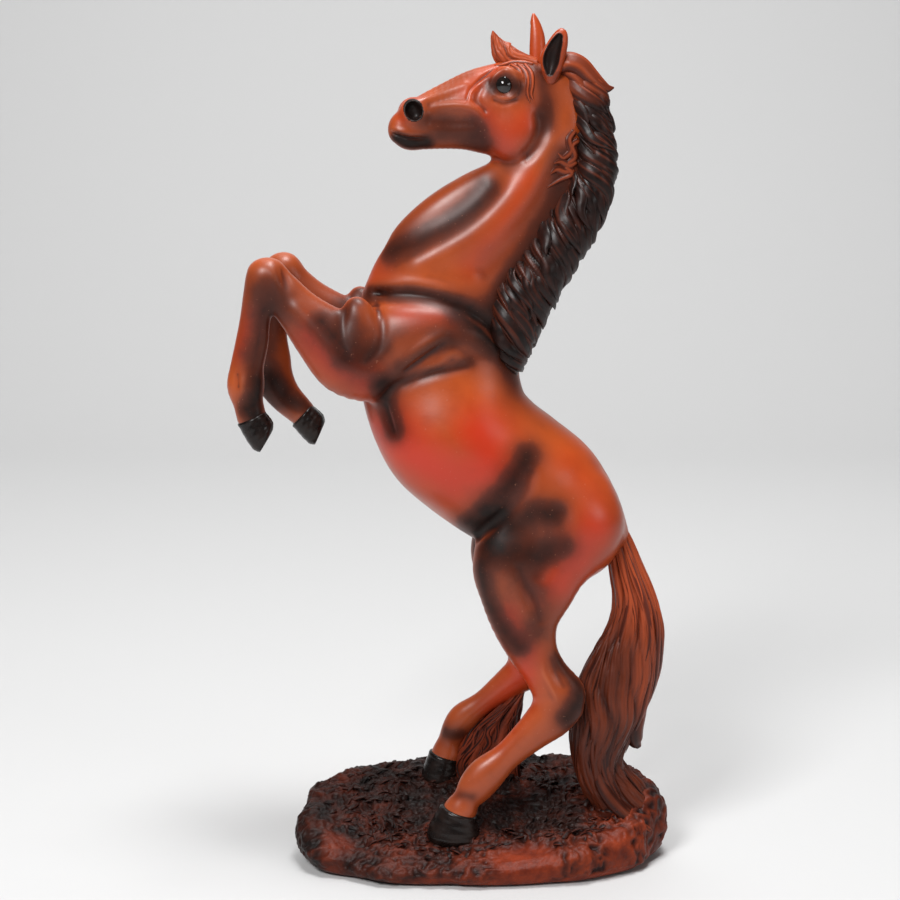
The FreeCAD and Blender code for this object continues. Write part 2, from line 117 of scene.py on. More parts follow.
# A feature is ([(x, z, radius, height), ...], blend). It lies on the skin seen at (x, z), and is a groove
# where the height is negative. NEAR marks one that only the left side has.
NEAR = True
NECK_FEATURES = [
    # neck: long muscle from the jaw to the shoulder, the jugular groove before it, and a dip behind it
    ([(30, 341, 5, 0.4), (22, 326, 6.5, 0.8), (12, 313, 8, 1.1), (-1, 302, 9, 1.1), (-15, 295, 8, 0.9),
     (-28, 289, 6, 0.3)], 10),
    ([(-40, 293, 5, -0.2), (-30, 298, 7, -0.35), (-16, 305.5, 7, -0.4), (-4, 314, 6, -0.35),
     (4, 322, 4, -0.2)], 10),
    ([(38, 330, 4, -0.4), (30, 312, 6, -0.8), (18, 296, 6, -0.6), (4, 282, 4, -0.1)], 6),
    # band between neck and shoulder
    ([(-54, 274, 1.6, -0.4), (-47, 273.4, 2, -0.9), (-41, 273, 2.2, -1), (-32, 273.2, 2.2, -1),
     (-21, 271.8, 2.2, -1), (-12.5, 268.8, 2.2, -1), (-4, 265, 2.4, -1), (4, 259, 2.6, -0.9),
     (9, 251, 2.2, -0.4)], 2.5),
    ([(-50, 276.6, 2.4, 0.3), (-41, 276.6, 3, 0.9), (-30, 276.4, 3, 0.9), (-20, 274.6, 2.6, 0.7),
     (-11, 271, 2, 0.2)], 2.5),
]
BODY_FEATURES = [
    # grooves round the bulb of the upper arm
    ([(-61, 267, 1.2, -0.8), (-63.2, 259.2, 1.6, -0.8), (-62.7, 250.8, 1.8, -0.8),
     (-60, 242.4, 1.4, -0.8)], 1.8),
    ([(-47, 268, 1.1, -0.3), (-44.8, 262, 1.6, -0.6), (-44.4, 254, 1.8, -0.8), (-46.7, 246, 1.8, -0.8),
     (-52.1, 240, 1.2, -0.4)], 2),
    # skin folds of the shoulder, and its lower edge
    ([(-37.2, 236.5, 1.6, 0.4), (-31.8, 241.8, 2.4, 1.3), (-27, 246, 2.6, 1.5), (-21.1, 250.2, 2.6, 1.4),
     (-15.5, 253.6, 1.8, 0.5)], 2),
    ([(-30, 232.8, 1.4, 0.3), (-23.5, 237, 2, 1.1), (-17.5, 240.4, 2.2, 1.4), (-12.7, 244.2, 2.4, 1.6),
     (-9, 243.2, 2, 1.2), (-6, 240.2, 1.2, 0.3)], 1.6),
    ([(-33.5, 236, 1.2, -0.5), (-27, 240.6, 1.5, -1), (-21.1, 244.8, 1.5, -1), (-15, 249, 1, -0.4)], 1.2),
    ([(-44, 222.5, 1.8, -0.9), (-39, 228, 2.2, -1.4), (-33, 231, 2, -1.2), (-27.1, 233.5, 1.8, -1),
     (-18.7, 235.6, 1.6, -0.9), (-11.6, 236.8, 1.5, -0.7), (-5, 238.4, 1.2, -0.3)], 2.4),
    ([(-43, 219, 1.6, -1), (-41.5, 213, 2, -1.4), (-39, 207, 1, -0.4)], 2),
    # flank fold, thigh and gaskin
    ([(0, 156.5, 1.5, -1.6), (5, 161.3, 2, -2), (11.4, 166.5, 2.4, -1.8), (17.8, 172.5, 2.6, -1.6),
     (22.5, 179, 2.6, -1.2), (25, 188, 2, -0.4)], 4),
    ([(40, 168, 4, -0.4), (38, 158, 5, -1), (34, 148, 5, -1), (30, 139, 4, -0.5)], 5),
    ([(20.5, 140, 2.4, -0.5), (24, 131.5, 3, -1.2), (28.5, 124, 3, -1.2), (30.5, 116, 2, -0.5)], 3),
    ([(17, 137, 3, 0.3), (19, 130, 3.5, 1), (21.3, 123, 3.5, 1), (24.6, 117, 3, 0.3)], 3),
    ([(31.3, 95, 0.8, 0.3), (31.8, 90, 1.2, 0.9), (34.6, 84.5, 1.3, 1.1), (37.9, 78.2, 1.2, 0.9),
     (39.6, 72, 0.8, 0.3)], 0.9, NEAR),
    ([(36, 97, 2, -0.5), (38.5, 90, 2.4, -1.3), (42, 83, 2, -0.6)], 1.5, NEAR),
    ([(18, 60.5, 1.2, -0.3), (10, 54, 1.5, -0.8), (3.5, 48, 1.2, -0.4)], 1.2, NEAR),
    # knee, forearm and fetlock of the near foreleg
    ([(-95.8, 288, 1, 0.3), (-94.7, 281.5, 1.3, 0.9), (-92.4, 275, 1.3, 0.9), (-90.1, 270, 1, 0.3)], 1, NEAR),
    ([(-90.4, 284, 1.6, -0.6), (-89.2, 279.5, 2, -1.3), (-88.6, 275, 1.4, -0.6)], 1, NEAR),
    ([(-73, 259.5, 1.2, -0.5), (-67.4, 252.8, 1.6, -1), (-62.5, 245.5, 1.4, -0.8)], 1.4),
    ([(-84, 265, 3, 0.2), (-74, 254, 4, 0.9), (-66, 244, 4, 1.1), (-56, 236, 4, 1), (-46, 234, 3, 0.3)], 4),
    ([(-99.5, 264, 1.2, -0.4), (-101.5, 250, 1.5, -1), (-104.5, 238, 1.2, -0.4)], 1.5, NEAR),
    ([(-111.9, 234.5, 1, -0.7), (-112, 231, 1.3, -0.7), (-111.7, 228.5, 1, -0.7)], 0.8, NEAR),
    ([(-109.5, 232, 0.8, 0.5), (-109.8, 229, 1, 0.5), (-109.5, 226.5, 0.8, 0.5)], 0.8, NEAR),
]
HEAD_FEATURES = [
    # groove behind and under the jaw
    ([(27.8, 353, 2, -0.2), (28.6, 347, 2.6, -0.6), (26.4, 341, 2.6, -0.7), (22.6, 336.6, 2, -0.3)], 3.5),
    # zygomatic arch in front of the eye, and the facial crest
    ([(-0.4, 357, 0.8, 0.1), (-2.6, 358.6, 1.2, 0.45), (-4, 362, 1.2, 0.45), (-3, 366, 1.2, 0.3),
     (0.6, 369.4, 0.9, 0.2), (4.6, 371, 0.7, 0.1)], 1.6),
    ([(2.4, 356.5, 1.6, -0.2), (0.2, 359.2, 2, -0.5), (-0.6, 362.4, 2, -0.5), (1.2, 366, 1.4, -0.2)], 2),
    ([(-5.1, 361, 0.6, -0.3), (-4, 365, 0.7, -0.6), (-1.6, 368, 0.8, -0.6), (3.5, 372.3, 0.8, -0.6),
     (8, 375.2, 0.8, -0.6), (12.7, 376.8, 0.7, -0.5), (17, 376, 0.6, -0.2)], 0.6),
    ([(-20, 358, 1.2, 0.2), (-13, 358.6, 1.6, 0.8), (-6.7, 358.4, 1.8, 1.1), (-1, 356.5, 1.8, 1),
     (2.2, 352.7, 1.2, 0.3)], 1.8),
    ([(-20, 351.5, 2.5, -0.3), (-12, 351.5, 3.5, -1), (-4, 351, 2.5, -0.4)], 3),
    # nostril with its rim
    ([(-29.6, 357, 6.4, 1.3), (-29.2, 355.6, 6.4, 1.3)], 1.4),
    ([(-29.9, 357.6, 3.4, -5.4), (-29.4, 356.4, 3.8, -5.4), (-29, 355.2, 3.4, -5.4)], 0.5),
    ([(-26, 361, 1.6, 0.1), (-16, 364.5, 2.2, 0.5), (-6, 368, 1.6, 0.1)], 2),
    # mouth and lips
    ([(-38.6, 348.2, 1, 0.4), (-35.6, 346.9, 1.3, 0.7), (-31.6, 346.2, 1.3, 0.6), (-27, 346, 1.2, 0.5),
     (-23, 345.6, 0.8, 0.1)], 1),
    ([(-39.4, 346.2, 0.7, -0.6), (-35.9, 344.6, 0.8, -0.9), (-32.1, 343.9, 0.8, -0.9),
     (-27, 343.7, 0.7, -0.7), (-22.8, 343.3, 0.5, -0.3)], 0.5),
    # eye socket and lids
    ([(11.8, 368.2, 5, -2.2), (12.2, 367.2, 5, -2.2)], 1),
    ([(5.6, 367, 0.8, 0.4), (7.4, 371.4, 1.2, 1.1), (11.6, 374, 1.4, 1.4), (16, 372.4, 1.3, 1.2),
     (18.4, 367.6, 1, 0.9), (17.2, 363, 0.8, 0.5)], 0.6),
    ([(5.8, 365.6, 0.7, 0.3), (7.8, 362.8, 0.9, 0.8), (11.4, 361.4, 1, 0.9), (15.2, 361.8, 0.9, 0.8),
     (17.8, 364.6, 0.7, 0.4)], 0.6),
    ([(7.5, 360.8, 0.7, -0.2), (12, 359.6, 1, -0.6), (17.5, 361, 0.7, -0.2)], 1.2),
    ([(5.4, 371.6, 1, 0.2), (9, 375, 1.5, 0.7), (13.4, 375.2, 1.6, 0.8), (18.5, 373, 1, 0.2)], 1.5),
]


def unit(rows):
    """The rows, each at length 1."""
    return rows / np.maximum(np.linalg.norm(rows, axis=-1, keepdims=True), 1e-12)


def refined(rows, parts):
    """Catmull-Rom curve through the rows, with this many steps between neighbours."""
    rows = np.array(rows, float)
    rows = np.vstack([2 * rows[0] - rows[1], rows, 2 * rows[-1] - rows[-2]])
    steps = np.arange(parts)[:, None] / parts
    out = []
    for a, b, c, d in zip(rows, rows[1:], rows[2:], rows[3:]):
        out.append(0.5 * (2 * b + (c - a) * steps + (2 * a - 5 * b + 4 * c - d) * steps ** 2
                          + (3 * b - a - 3 * c + d) * steps ** 3))
    return np.vstack(out + [rows[-2:-1]])


def run(sections, parts=4):
    """Segments of a smooth run of elliptical sections.

    A segment is a row of two ends. An end is its centre, three radii, and the tilt's cosine and sine.
    """
    rows = refined(sections, parts)
    tilt = np.radians(rows[:, 5])
    ends = np.column_stack([rows[:, :5], rows[:, 3:5].min(1), np.cos(tilt), np.sin(tilt)])
    return np.hstack([ends[:-1], ends[1:]])


def ball(x, y, z, depth, width, height, tilt=0.0):
    """One ellipsoid. Its depth axis is tilted in the XZ plane, and its height axis is square to that."""
    end = [x, y, z, depth, width, height, math.cos(math.radians(tilt)), math.sin(math.radians(tilt))]
    return np.array([end + end])


def both_sides(group):
    """The segments, and the same ones on the other side of the horse."""
    flipped = group.copy()
    flipped[:, [1, 9]] *= -1
    return np.vstack([group, flipped])


def distance(points, group):
    """Nearly the distance from each point to the nearest surface of the group."""
    a, b = group[:, None, :8], group[:, None, 8:]
    along = b[..., :3] - a[..., :3]
    rel = points[None] - a[..., :3]
    length = np.maximum((along ** 2).sum(2), 1e-9)
    t = np.clip((rel * along).sum(2) / length, 0, 1)[..., None]
    away = rel - t * along
    depth, width, third, cos, sin = np.moveaxis(a[..., 3:] + t * (b[..., 3:] - a[..., 3:]), 2, 0)
    u = away[..., 0] * cos + away[..., 2] * sin
    w = away[..., 2] * cos - away[..., 0] * sin
    v = away[..., 1]
    size = np.sqrt(u * u + v * v + w * w) + 1e-6
    share = np.sqrt((u / depth) ** 2 + (v / width) ** 2 + (w / third) ** 2) + 1e-7
    return (size - size / share).min(0)


def blend(a, b, k):
    """Smooth union over the distance k."""
    near = np.maximum(k - np.abs(a - b), 0) / k
    return np.minimum(a, b) - near * near * k / 4


class Clay:
    """A solid made by adding and carving groups of segments."""

    def __init__(self):
        self.steps = []

    def add(self, group, k, sign=1):
        reach = np.maximum(group[:, 3:6].max(1), group[:, 11:14].max(1))[:, None] + k + 3
        low = np.minimum(group[:, :3], group[:, 8:11]) - reach
        high = np.maximum(group[:, :3], group[:, 8:11]) + reach
        self.steps.append((sign, group, k, low, high))

    def carve(self, group, k):
        self.add(group, k, -1)

    def value(self, points):
        """Signed distance at the points, negative inside."""
        low, high = points.min(0), points.max(0)
        result = np.full(len(points), FAR)
        for sign, group, k, group_low, group_high in self.steps:
            near = ((group_high > low) & (group_low < high)).all(1)
            if near.any():
                result = sign * blend(sign * result, distance(points, group[near]), k)
        return result


def sampled(clay, low, high, step):
    """Grid of the clay's values, worked out only in blocks near the surface."""
    low = np.array(low, float)
    counts = np.ceil((np.array(high) - low) / (step * BLOCK)).astype(int)
    grid = np.full(counts * BLOCK, FAR, np.float32)
    offsets = np.stack(np.meshgrid(*[np.arange(BLOCK)] * 3, indexing="ij"), -1).reshape(-1, 3) * step
    reach = BLOCK * step * 1.15     # past the corners of a block, from its middle
    for corner in np.ndindex(*counts):
        start = low + np.array(corner) * BLOCK * step
        block = tuple(slice(n * BLOCK, (n + 1) * BLOCK) for n in corner)
        middle = clay.value(start[None] + (BLOCK - 1) * step / 2)[0]
        close = abs(middle) <= reach
        grid[block] = clay.value(start + offsets).reshape(BLOCK, BLOCK, BLOCK) if close else middle
    return grid


def surface(grid, low, step):
    """Quads of the zero surface, with one vertex in each grid cell that the surface crosses."""
    inside = grid < 0
    shape = tuple(n - 1 for n in grid.shape)
    corners = list(np.ndindex(2, 2, 2))
    count = sum(inside[tuple(slice(v, v + n) for v, n in zip(c, shape))].astype(np.uint8) for c in corners)
    cells = np.argwhere((count > 0) & (count < 8))
    index = np.full(shape, -1, np.int32)
    index[tuple(cells.T)] = np.arange(len(cells))
    values = {c: grid[tuple((cells + c).T)] for c in corners}
    total = np.zeros((len(cells), 3))
    crossings = np.zeros(len(cells))
    for c, axis in [(c, axis) for c in corners for axis in range(3) if not c[axis]]:
        a, b = values[c], values[tuple(v + (n == axis) for n, v in enumerate(c))]
        crossed = (a < 0) != (b < 0)
        point = np.tile(np.array(c, float), (len(cells), 1))
        point[:, axis] += np.where(crossed, a / np.where(crossed, a - b, 1), 0)
        total[crossed] += point[crossed]
        crossings += crossed
    verts = (cells + total / crossings[:, None]) * step + np.array(low, float)
    quads = []
    for axis in range(3):
        others = [n for n in range(3) if n != axis]
        first = np.delete(inside, -1, axis)
        edges = np.argwhere(first != np.delete(inside, 0, axis))
        aside = edges[:, others]
        edges = edges[((aside > 0) & (aside < np.array(shape)[others])).all(1)]
        ring = []
        for shift in ((1, 1), (0, 1), (0, 0), (1, 0)):
            cell = edges.copy()
            cell[:, others] -= shift
            ring.append(index[tuple(cell.T)])
        ring = np.stack(ring, 1)
        flip = first[tuple(edges.T)] == (axis == 1)
        ring[flip] = ring[flip][:, ::-1]
        quads.append(ring)
    return verts, np.vstack(quads)


def smoothed(verts, quads, steps):
    """The vertices moved by each step in turn towards the mean of their neighbours."""
    a, b = quads.ravel(), np.roll(quads, -1, axis=1).ravel()
    count = len(verts)
    degree = np.maximum(np.bincount(a, minlength=count) + np.bincount(b, minlength=count), 1)[:, None]
    for step in steps:
        totals = [np.bincount(a, row[b], count) + np.bincount(b, row[a], count) for row in verts.T]
        verts = verts + (np.stack(totals, 1) / degree - verts) * step
    return verts


def vertex_normals(verts, quads):
    p = verts[quads]
    normals = np.cross(p[:, 2] - p[:, 0], p[:, 3] - p[:, 1])
    return unit(np.stack([sum(np.bincount(c, row, len(verts)) for c in quads.T) for row in normals.T], 1))


def soft_normals(verts, quads, rounds):
    """Vertex normals averaged over the neighbours."""
    return unit(smoothed(vertex_normals(verts, quads), quads, [1] * rounds))


def hollows(verts, quads, rounds=14):
    """How far each vertex lies below (positive) or above (negative) the surface around it."""
    return ((smoothed(verts, quads, [1] * rounds) - verts) * vertex_normals(verts, quads)).sum(1)


def sculpt(clay, low, high, step, rounds):
    """Quad mesh of the clay, smoothed without shrinking."""
    verts, quads = surface(sampled(clay, low, high, step), low, step)
    return smoothed(verts, quads, [0.5, -0.52] * rounds), quads


def turned(points, angle=HEAD_YAW):
    """Points of the head, turned with it to the horse's left. The opposite angle puts them back."""
    x, y, z = np.moveaxis(np.asarray(points, float) - HEAD_PIVOT, -1, 0)
    c, s = math.cos(angle), math.sin(angle)
    return np.stack([x * c - y * s, x * s + y * c, z], -1) + HEAD_PIVOT


def turned_group(group):
    """Segments of the head, turned with it."""
    out = group.copy()
    for end in (slice(0, 3), slice(8, 11)):
        out[:, end] = turned(group[:, end])
    return out


def other_side(points, on_head):
    """The matching points on the right side."""
    if not on_head:
        return points * [1, -1, 1]
    return turned(turned(points, -HEAD_YAW) * [1, -1, 1])


def skin_normal(clay, points):
    """Outward normals of the clay."""
    return unit(np.stack([clay.value(points + gap) - clay.value(points - gap) for gap in np.eye(3) * 0.6], 1))


def seen(clay, path, lift=0.0):
    """Path given as (x, z) in the horse's middle plane, moved to the near skin along the line of sight."""
    aim = np.array([(x, 0.0, z) for x, z in path])
    way = unit(aim - VIEWPOINT)[:, None]
    points = aim[:, None] + way * np.linspace(-SKIN_REACH, SKIN_REACH, SKIN_STEPS)[None, :, None]
    values = clay.value(points.reshape(-1, 3)).reshape(len(aim), SKIN_STEPS)
    hit = points[np.arange(len(aim)), np.argmax(values < 0, axis=1)]
    return hit + skin_normal(clay, hit) * np.reshape(lift, (-1, 1))


def add_features(clay, features, on_head=False):
    """Ridges and grooves on the skin, each following on the ones before."""
    for rows, k, *near_only in features:
        x, z, radius, height = np.array(rows, float).T
        points = seen(clay, zip(x, z), np.where(height > 0, height - radius, radius + height))
        sides = [points] if near_only else [points, other_side(points, on_head)]
        ropes = [run(np.column_stack([side, radius, radius, 0 * radius]), 3) for side in sides]
        clay.add(np.vstack(ropes), k, 1 if height.max() > 0 else -1)


def horse_clay():
    """The whole horse without its hair, hooves, ears and eyes."""
    clay = Clay()
    clay.add(np.vstack([run(TORSO, 8), run(NECK, 9)]), 1)
    clay.add(turned_group(run(HEAD)), 6)
    for upper, lower in (LEFT_HIND, RIGHT_HIND):
        clay.add(run(upper), 9)
        clay.add(run(lower), 4)
    for upper, lower in (LEFT_FORE, RIGHT_FORE):
        clay.add(run(upper), 5)
        clay.add(run(lower), 3.5)
    clay.add(run(DOCK), 5)
    clay.add(both_sides(run(SHOULDER, 8)), 2.5)
    for muscle, k in BODY_MUSCLES:
        clay.add(both_sides(ball(*muscle)), k)
    add_features(clay, NECK_FEATURES)
    clay.add(both_sides(ball(*UPPER_ARM)), 3)
    add_features(clay, BODY_FEATURES)
    for muscle, k in HEAD_MUSCLES:
        clay.add(turned_group(both_sides(ball(*muscle))), k)
    clay.add(turned_group(ball(*CHIN)), 2.5)
    add_features(clay, HEAD_FEATURES, on_head=True)
    return clay


def before_head_seam(points):
    """Signed distance in front of the seam behind the jaw, negative on the neck."""
    return (26 - points[:, 0]) * 0.973 + (points[:, 2] - 350) * 0.23


def region(points):
    """Casting that each point of the horse behind the head belongs to."""
    x, y, z = points.T
    names = np.full(len(points), "torso", dtype=object)
    seam = (x + 19.5) * 0.397 + (z - 259.5) * 0.918
    fore = (seam < 0) & ((x < -66) | ((x < -46) & (np.abs(y) > 8))) | (x < -70)
    names[seam > 0] = "neck"
    for leg, inside in (("foreleg", fore), ("hind_leg", (z < 150) & (x > -40))):
        names[inside & (y < 0)] = "left_" + leg
        names[inside & (y >= 0)] = "right_" + leg
    return names


# Airbrushed paint, with painted shade over the forearms and fore cannons. A stroke is (path of (x, z),
# radius, strength).
DARK_BODY = [
    ([(-55, 272.5), (-45, 272.6), (-30, 272.4), (-15, 269.5), (-4, 264), (4, 257), (9, 249)], 6.1, 0.85),
    ([(-8, 264), (2, 257), (10, 248)], 9.8, 0.72),
    ([(3, 260), (9, 270), (15, 280), (23, 292), (31, 305), (38, 320), (42, 335)], 9.8, 0.81),
    ([(9, 250), (14, 240), (19, 231)], 7.3, 0.77),
    ([(-40, 291), (-28, 296.5), (-14, 304), (-3, 312), (4, 320)], 9.8, 0.85),
    ([(-61, 264), (-58, 253), (-56, 243)], 9.8, 0.68), ([(-50, 244), (-45, 247)], 6.1, 0.63),
    ([(-73, 259), (-67, 252), (-62, 243)], 6.7, 0.77),
    ([(-42, 254), (-25, 255), (-12, 254), (0, 247)], 11, 0.45),
    ([(-36, 238), (-27, 243), (-13, 250)], 6.1, 0.59), ([(-44, 229), (-42, 219), (-39, 208)], 8.5, 0.88),
    ([(-44, 229), (-30, 233), (-16, 237), (-4, 240)], 4.9, 0.63),
    ([(-2, 162), (6, 171), (14, 180), (21, 190), (23.6, 196)], 10.4, 0.9),
    ([(-6, 158), (2, 162), (10, 168)], 7.9, 0.85), ([(-1, 157), (5, 161.5), (12, 166.5)], 4.9, 0.81),
    ([(4, 155), (16, 162), (28, 168.5), (36, 168)], 10.4, 0.85),
    ([(8, 150), (22, 146), (34, 149), (41, 152)], 9.8, 0.72), ([(4, 152), (18, 151), (32, 150)], 11, 0.45),
    ([(1, 142), (2.9, 131.5), (6.2, 122.5), (10.5, 114.7), (14.9, 108), (20, 103)], 7.3, 0.85),
    ([(24, 136), (29.9, 129.2), (31.5, 120.3), (29, 110)], 8, 0.35),
    ([(18, 146), (23, 130), (26, 112)], 18, 0.42),
    ([(42, 96), (47, 90), (51, 83), (50, 76), (44, 67)], 9.2, 0.9),
    ([(-95.5, 266), (-97, 256), (-99, 246), (-101, 236), (-102, 226)], 9.8, 0.56),
    # forearm and fore cannon: darker maroon, partly their own paint and partly painted shade of the side
    # turned from the light
    ([(-92, 276), (-74, 252), (-56, 238)], 17, 0.42), ([(-100, 272), (-106, 245)], 12, 0.48),
    ([(-101.5, 232), (-104, 222), (-104, 212)], 7.3, 0.81),
    ([(-96, 228), (-90, 220), (-80, 216)], 7.3, 0.85), ([(-108, 218), (-100, 214)], 6.1, 0.81),
    ([(-20, 45), (-8, 45)], 6.1, 0.72), ([(-14, 29), (-2, 27)], 3.7, 0.54),
]
DARK_HEAD = [
    ([(-26, 352), (-18, 352), (-8, 349.5), (-2, 346)], 9.8, 0.54),
    ([(-16, 345), (-4, 343), (4, 340)], 7.3, 0.5),
    ([(-37.5, 343.6), (-33, 341), (-28, 340.2), (-23.4, 341.4)], 3.7, 0.9),
    ([(-36, 343.4), (-30, 341.8), (-24, 342)], 3.7, 0.9), ([(7, 367.4), (12, 368.8), (17, 367)], 6.1, 0.9),
    ([(29, 356), (29, 349), (27, 342), (22.8, 336.6), (14, 332)], 6.1, 0.41),
    ([(25, 378), (29, 370), (31.5, 360), (31, 350)], 6.1, 0.63),
    ([(-1, 352), (1.5, 347), (2.5, 342)], 5.5, 0.45), ([(-4, 374), (-18, 367)], 3.7, 0.27),
]
NOSTRILS = [
    ([(-29.7, 357.2), (-29.2, 355.6)], 5, 1.0),
]
RED_BODY = [
    ([(-42, 208), (-28, 195), (-10, 185), (6, 190), (2, 206)], 17, 1.0), ([(44, 192), (55, 177)], 13, 0.3),
    ([(56, 160), (48, 146), (38, 134)], 13, 0.9), ([(-34, 262), (-12, 262)], 7, 0.5),
    ([(-78, 252), (-66, 240), (-52, 232)], 10, 0.85), ([(-2, 286), (12, 303), (24, 325)], 9, 0.35),
    ([(15, 118), (24, 100), (22, 76), (8, 58)], 8, 0.75), ([(-104, 262), (-110, 245)], 7, 0.6),
    ([(-60, 275), (-45, 285)], 9, 0.35),
]
RED_HEAD = [
    ([(3, 352), (5, 344), (12, 338)], 8, 0.6), ([(14, 345), (22, 350)], 10, 0.55),
    ([(-5, 364), (8, 374)], 6, 0.4), ([(-34, 353), (-30, 361)], 5, 0.4),
]


def path_distance(flat, path):
    """Distance in the XZ plane from each point to a broken line."""
    path = np.array(path, float)
    best = np.full(len(flat), np.inf)
    for a, b in zip(path, path[1:]):
        t = np.clip(((flat - a) @ (b - a)) / ((b - a) @ (b - a)), 0, 1)
        best = np.minimum(best, np.linalg.norm(flat - a - t[:, None] * (b - a), axis=1))
    return best


def sprayed(flat, strokes):
    """Paint from 0 to 1 on points given as (x, z). Each stroke fades out round its path."""
    clear = np.ones(len(flat))
    for path, radius, strength in strokes:
        clear *= 1 - strength * np.exp(-(path_distance(flat, path) / radius) ** 2 * 1.4)
    return 1 - clear


def as_seen(points, on_head=False):
    """(x, z) in the middle plane of each point, seen along the line of sight from its own side."""
    straight = turned(points, -HEAD_YAW) if on_head else points
    near = np.where(straight[:, 1:2] > 0, other_side(points, on_head), points)
    share = VIEWPOINT[1] / (VIEWPOINT[1] - near[:, 1:2])
    return (VIEWPOINT + (near - VIEWPOINT) * share)[:, [0, 2]]


def shaded(verts, normals, strokes, on_head=False):
    """Dark paint, thinner where the skin faces away from the sides."""
    return sprayed(as_seen(verts, on_head), strokes) * np.clip(0.25 + 1.1 * np.abs(normals[:, 1]), 0, 1)


def smooth_mesh(name, verts, faces):
    mesh = bpy.data.meshes.new(name)
    mesh.from_pydata(verts, [], faces)
    mesh.update()
    mesh.polygons.foreach_set("use_smooth", [True] * len(mesh.polygons))
    return mesh


def add_object(name, data):
    obj = bpy.data.objects.new(name, data)
    bpy.context.scene.collection.objects.link(obj)
    return obj


def make_piece(node, slot, verts, faces, paint=None, normals=None):
    """Smooth mesh in place of the CAD node. The paint holds the numbers that its material reads."""
    mesh = smooth_mesh(node, (np.asarray(verts) * MM).tolist(), [list(map(int, face)) for face in faces])
    if normals is not None:
        mesh.normals_split_custom_set_from_vertices(normals.tolist())
    for name, values in (paint or {}).items():
        layer = mesh.attributes.new(name, "FLOAT", "POINT")
        layer.data.foreach_set("value", np.asarray(values, np.float32))
    mesh.materials.append(MATERIALS[slot])
    obj = add_object(node, mesh)
    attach(obj, "root")
    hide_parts(node)


def boundary_loops(kept):
    """Loops of vertices along the open edges of some quads."""
    edges = set(zip(kept.ravel().tolist(), np.roll(kept, -1, axis=1).ravel().tolist()))
    follow = {}
    for a, b in sorted(edges):
        if (b, a) not in edges:
            follow.setdefault(b, []).append(a)
    loops = []
    while follow:
        loop = [next(iter(follow))]
        while True:
            nexts = follow[loop[-1]]
            after = nexts.pop()
            if not nexts:
                del follow[loop[-1]]
            if after == loop[0] or after not in follow:
                break
            loop.append(after)
        if len(loop) > 2:
            loops.append(loop)
    return loops


def cut_piece(name, verts, quads, normals, keep, paint):
    """One casting out of the sculpted surface, closed inside by a sunk cap at each cut."""
    faces = quads[keep].tolist()
    caps = []
    for loop in boundary_loops(quads[keep]):
        sunk = verts[loop] - normals[loop] * OVERLAP
        first = len(verts) + len(caps)
        caps += [*sunk, sunk.mean(0)]
        for n, (a, b) in enumerate(zip(loop, loop[1:] + loop[:1])):
            c, d = first + n, first + (n + 1) % len(loop)
            faces += [[a, b, d, c], [c, d, first + len(loop)]]
    used = np.unique(np.concatenate(faces))
    index = np.zeros(len(verts) + len(caps), int)
    index[used] = np.arange(len(used))
    paint = {key: np.append(values, np.zeros(len(caps)))[used] for key, values in paint.items()}
    normals = np.vstack([normals, np.tile([[0.0, 0, 1]], (len(caps), 1))])
    make_piece(name, "coat_paint", np.vstack([verts, *caps])[used], [index[f] for f in faces], paint,
               normals[used])


def build_horse(clay):
    """The castings of the body, neck and legs, and the finer one of the head."""
    verts, quads = sculpt(clay, (-119, -38, 20), (77, 40, 384), BODY_STEP, 7)
    centres = verts[quads].mean(1)
    normals = soft_normals(verts, quads, 6)
    on_head = shaded(verts, normals, DARK_HEAD, True) * (verts[:, 2] > 320)
    paint = {"dark": np.maximum(shaded(verts, normals, DARK_BODY), on_head),
             "red": sprayed(as_seen(verts), RED_BODY), "hollow": hollows(verts, quads)}
    behind = (before_head_seam(centres) < OVERLAP) | (centres[:, 2] < THROAT_Z + OVERLAP)
    names = region(centres)
    for name in sorted(set(names)):
        cut_piece(name, verts, quads, normals, (names == name) & behind, paint)
    verts, quads = sculpt(clay, (-45, -20, 322), (40, 18, 386), HEAD_STEP, 5)
    centres = verts[quads].mean(1)
    normals = soft_normals(verts, quads, 2)
    flat = as_seen(verts, on_head=True)
    paint = {"dark": np.maximum(shaded(verts, normals, DARK_HEAD, True), sprayed(flat, NOSTRILS) > 0.33),
             "red": sprayed(flat, RED_HEAD), "hollow": hollows(verts, quads, 24)}
    keep = (before_head_seam(centres) > 0) & (centres[:, 2] > THROAT_Z)
    cut_piece("head", verts, quads, normals, keep, paint)


# Hair. A lock is a path with a width at each of its points.
LOCK_POINTS = 14
FINE_PARTS = 12             # steps between neighbouring sections of a hank
MANE_LOCKS, TAIL_LOCKS, TUFT_LOCKS = 60, 44, 40
MANE = [
    (41, -1, 378.5, 3, 3, 45), (48, -2, 368.5, 8.4, 5, -10), (51, -3, 355, 7.4, 7, 5),
    (53.3, -4, 340, 8.2, 8.5, 0), (52, -5, 325, 8.4, 9.5, -10), (46, -6, 310, 10.2, 10, -25),
    (37, -7.5, 296, 10.8, 10.8, -28), (27.6, -8.6, 282, 11.6, 11.4, -28), (18.8, -9, 268, 12.8, 11.4, -25),
    (15.6, -8.4, 254, 9.6, 10.4, -20), (14.6, -6, 242, 5.6, 8, -15), (16, -3, 233.5, 1.6, 2, -10),
]
TAIL = [
    (60, 0, 166, 5, 5, 42), (66.2, 0, 155, 6.2, 6.5, 36), (71, -1, 141, 7.6, 7.5, 22),
    (75, -2, 127, 9.8, 9, 6), (75.6, -3, 113, 12.8, 10, -6), (72, -4, 99, 15.8, 11, -14),
    (67, -5, 86, 17.4, 12, -12), (63, -6, 73, 17, 12.5, -4), (59.6, -6, 60, 14.6, 12.5, 2),
    (58.6, -5, 48, 11.6, 11.5, 6), (62, -4, 38, 12, 12, 22), (69, -4, 29, 12.6, 13, 34),
    (76, -4, 20, 11.6, 13, 40),
]
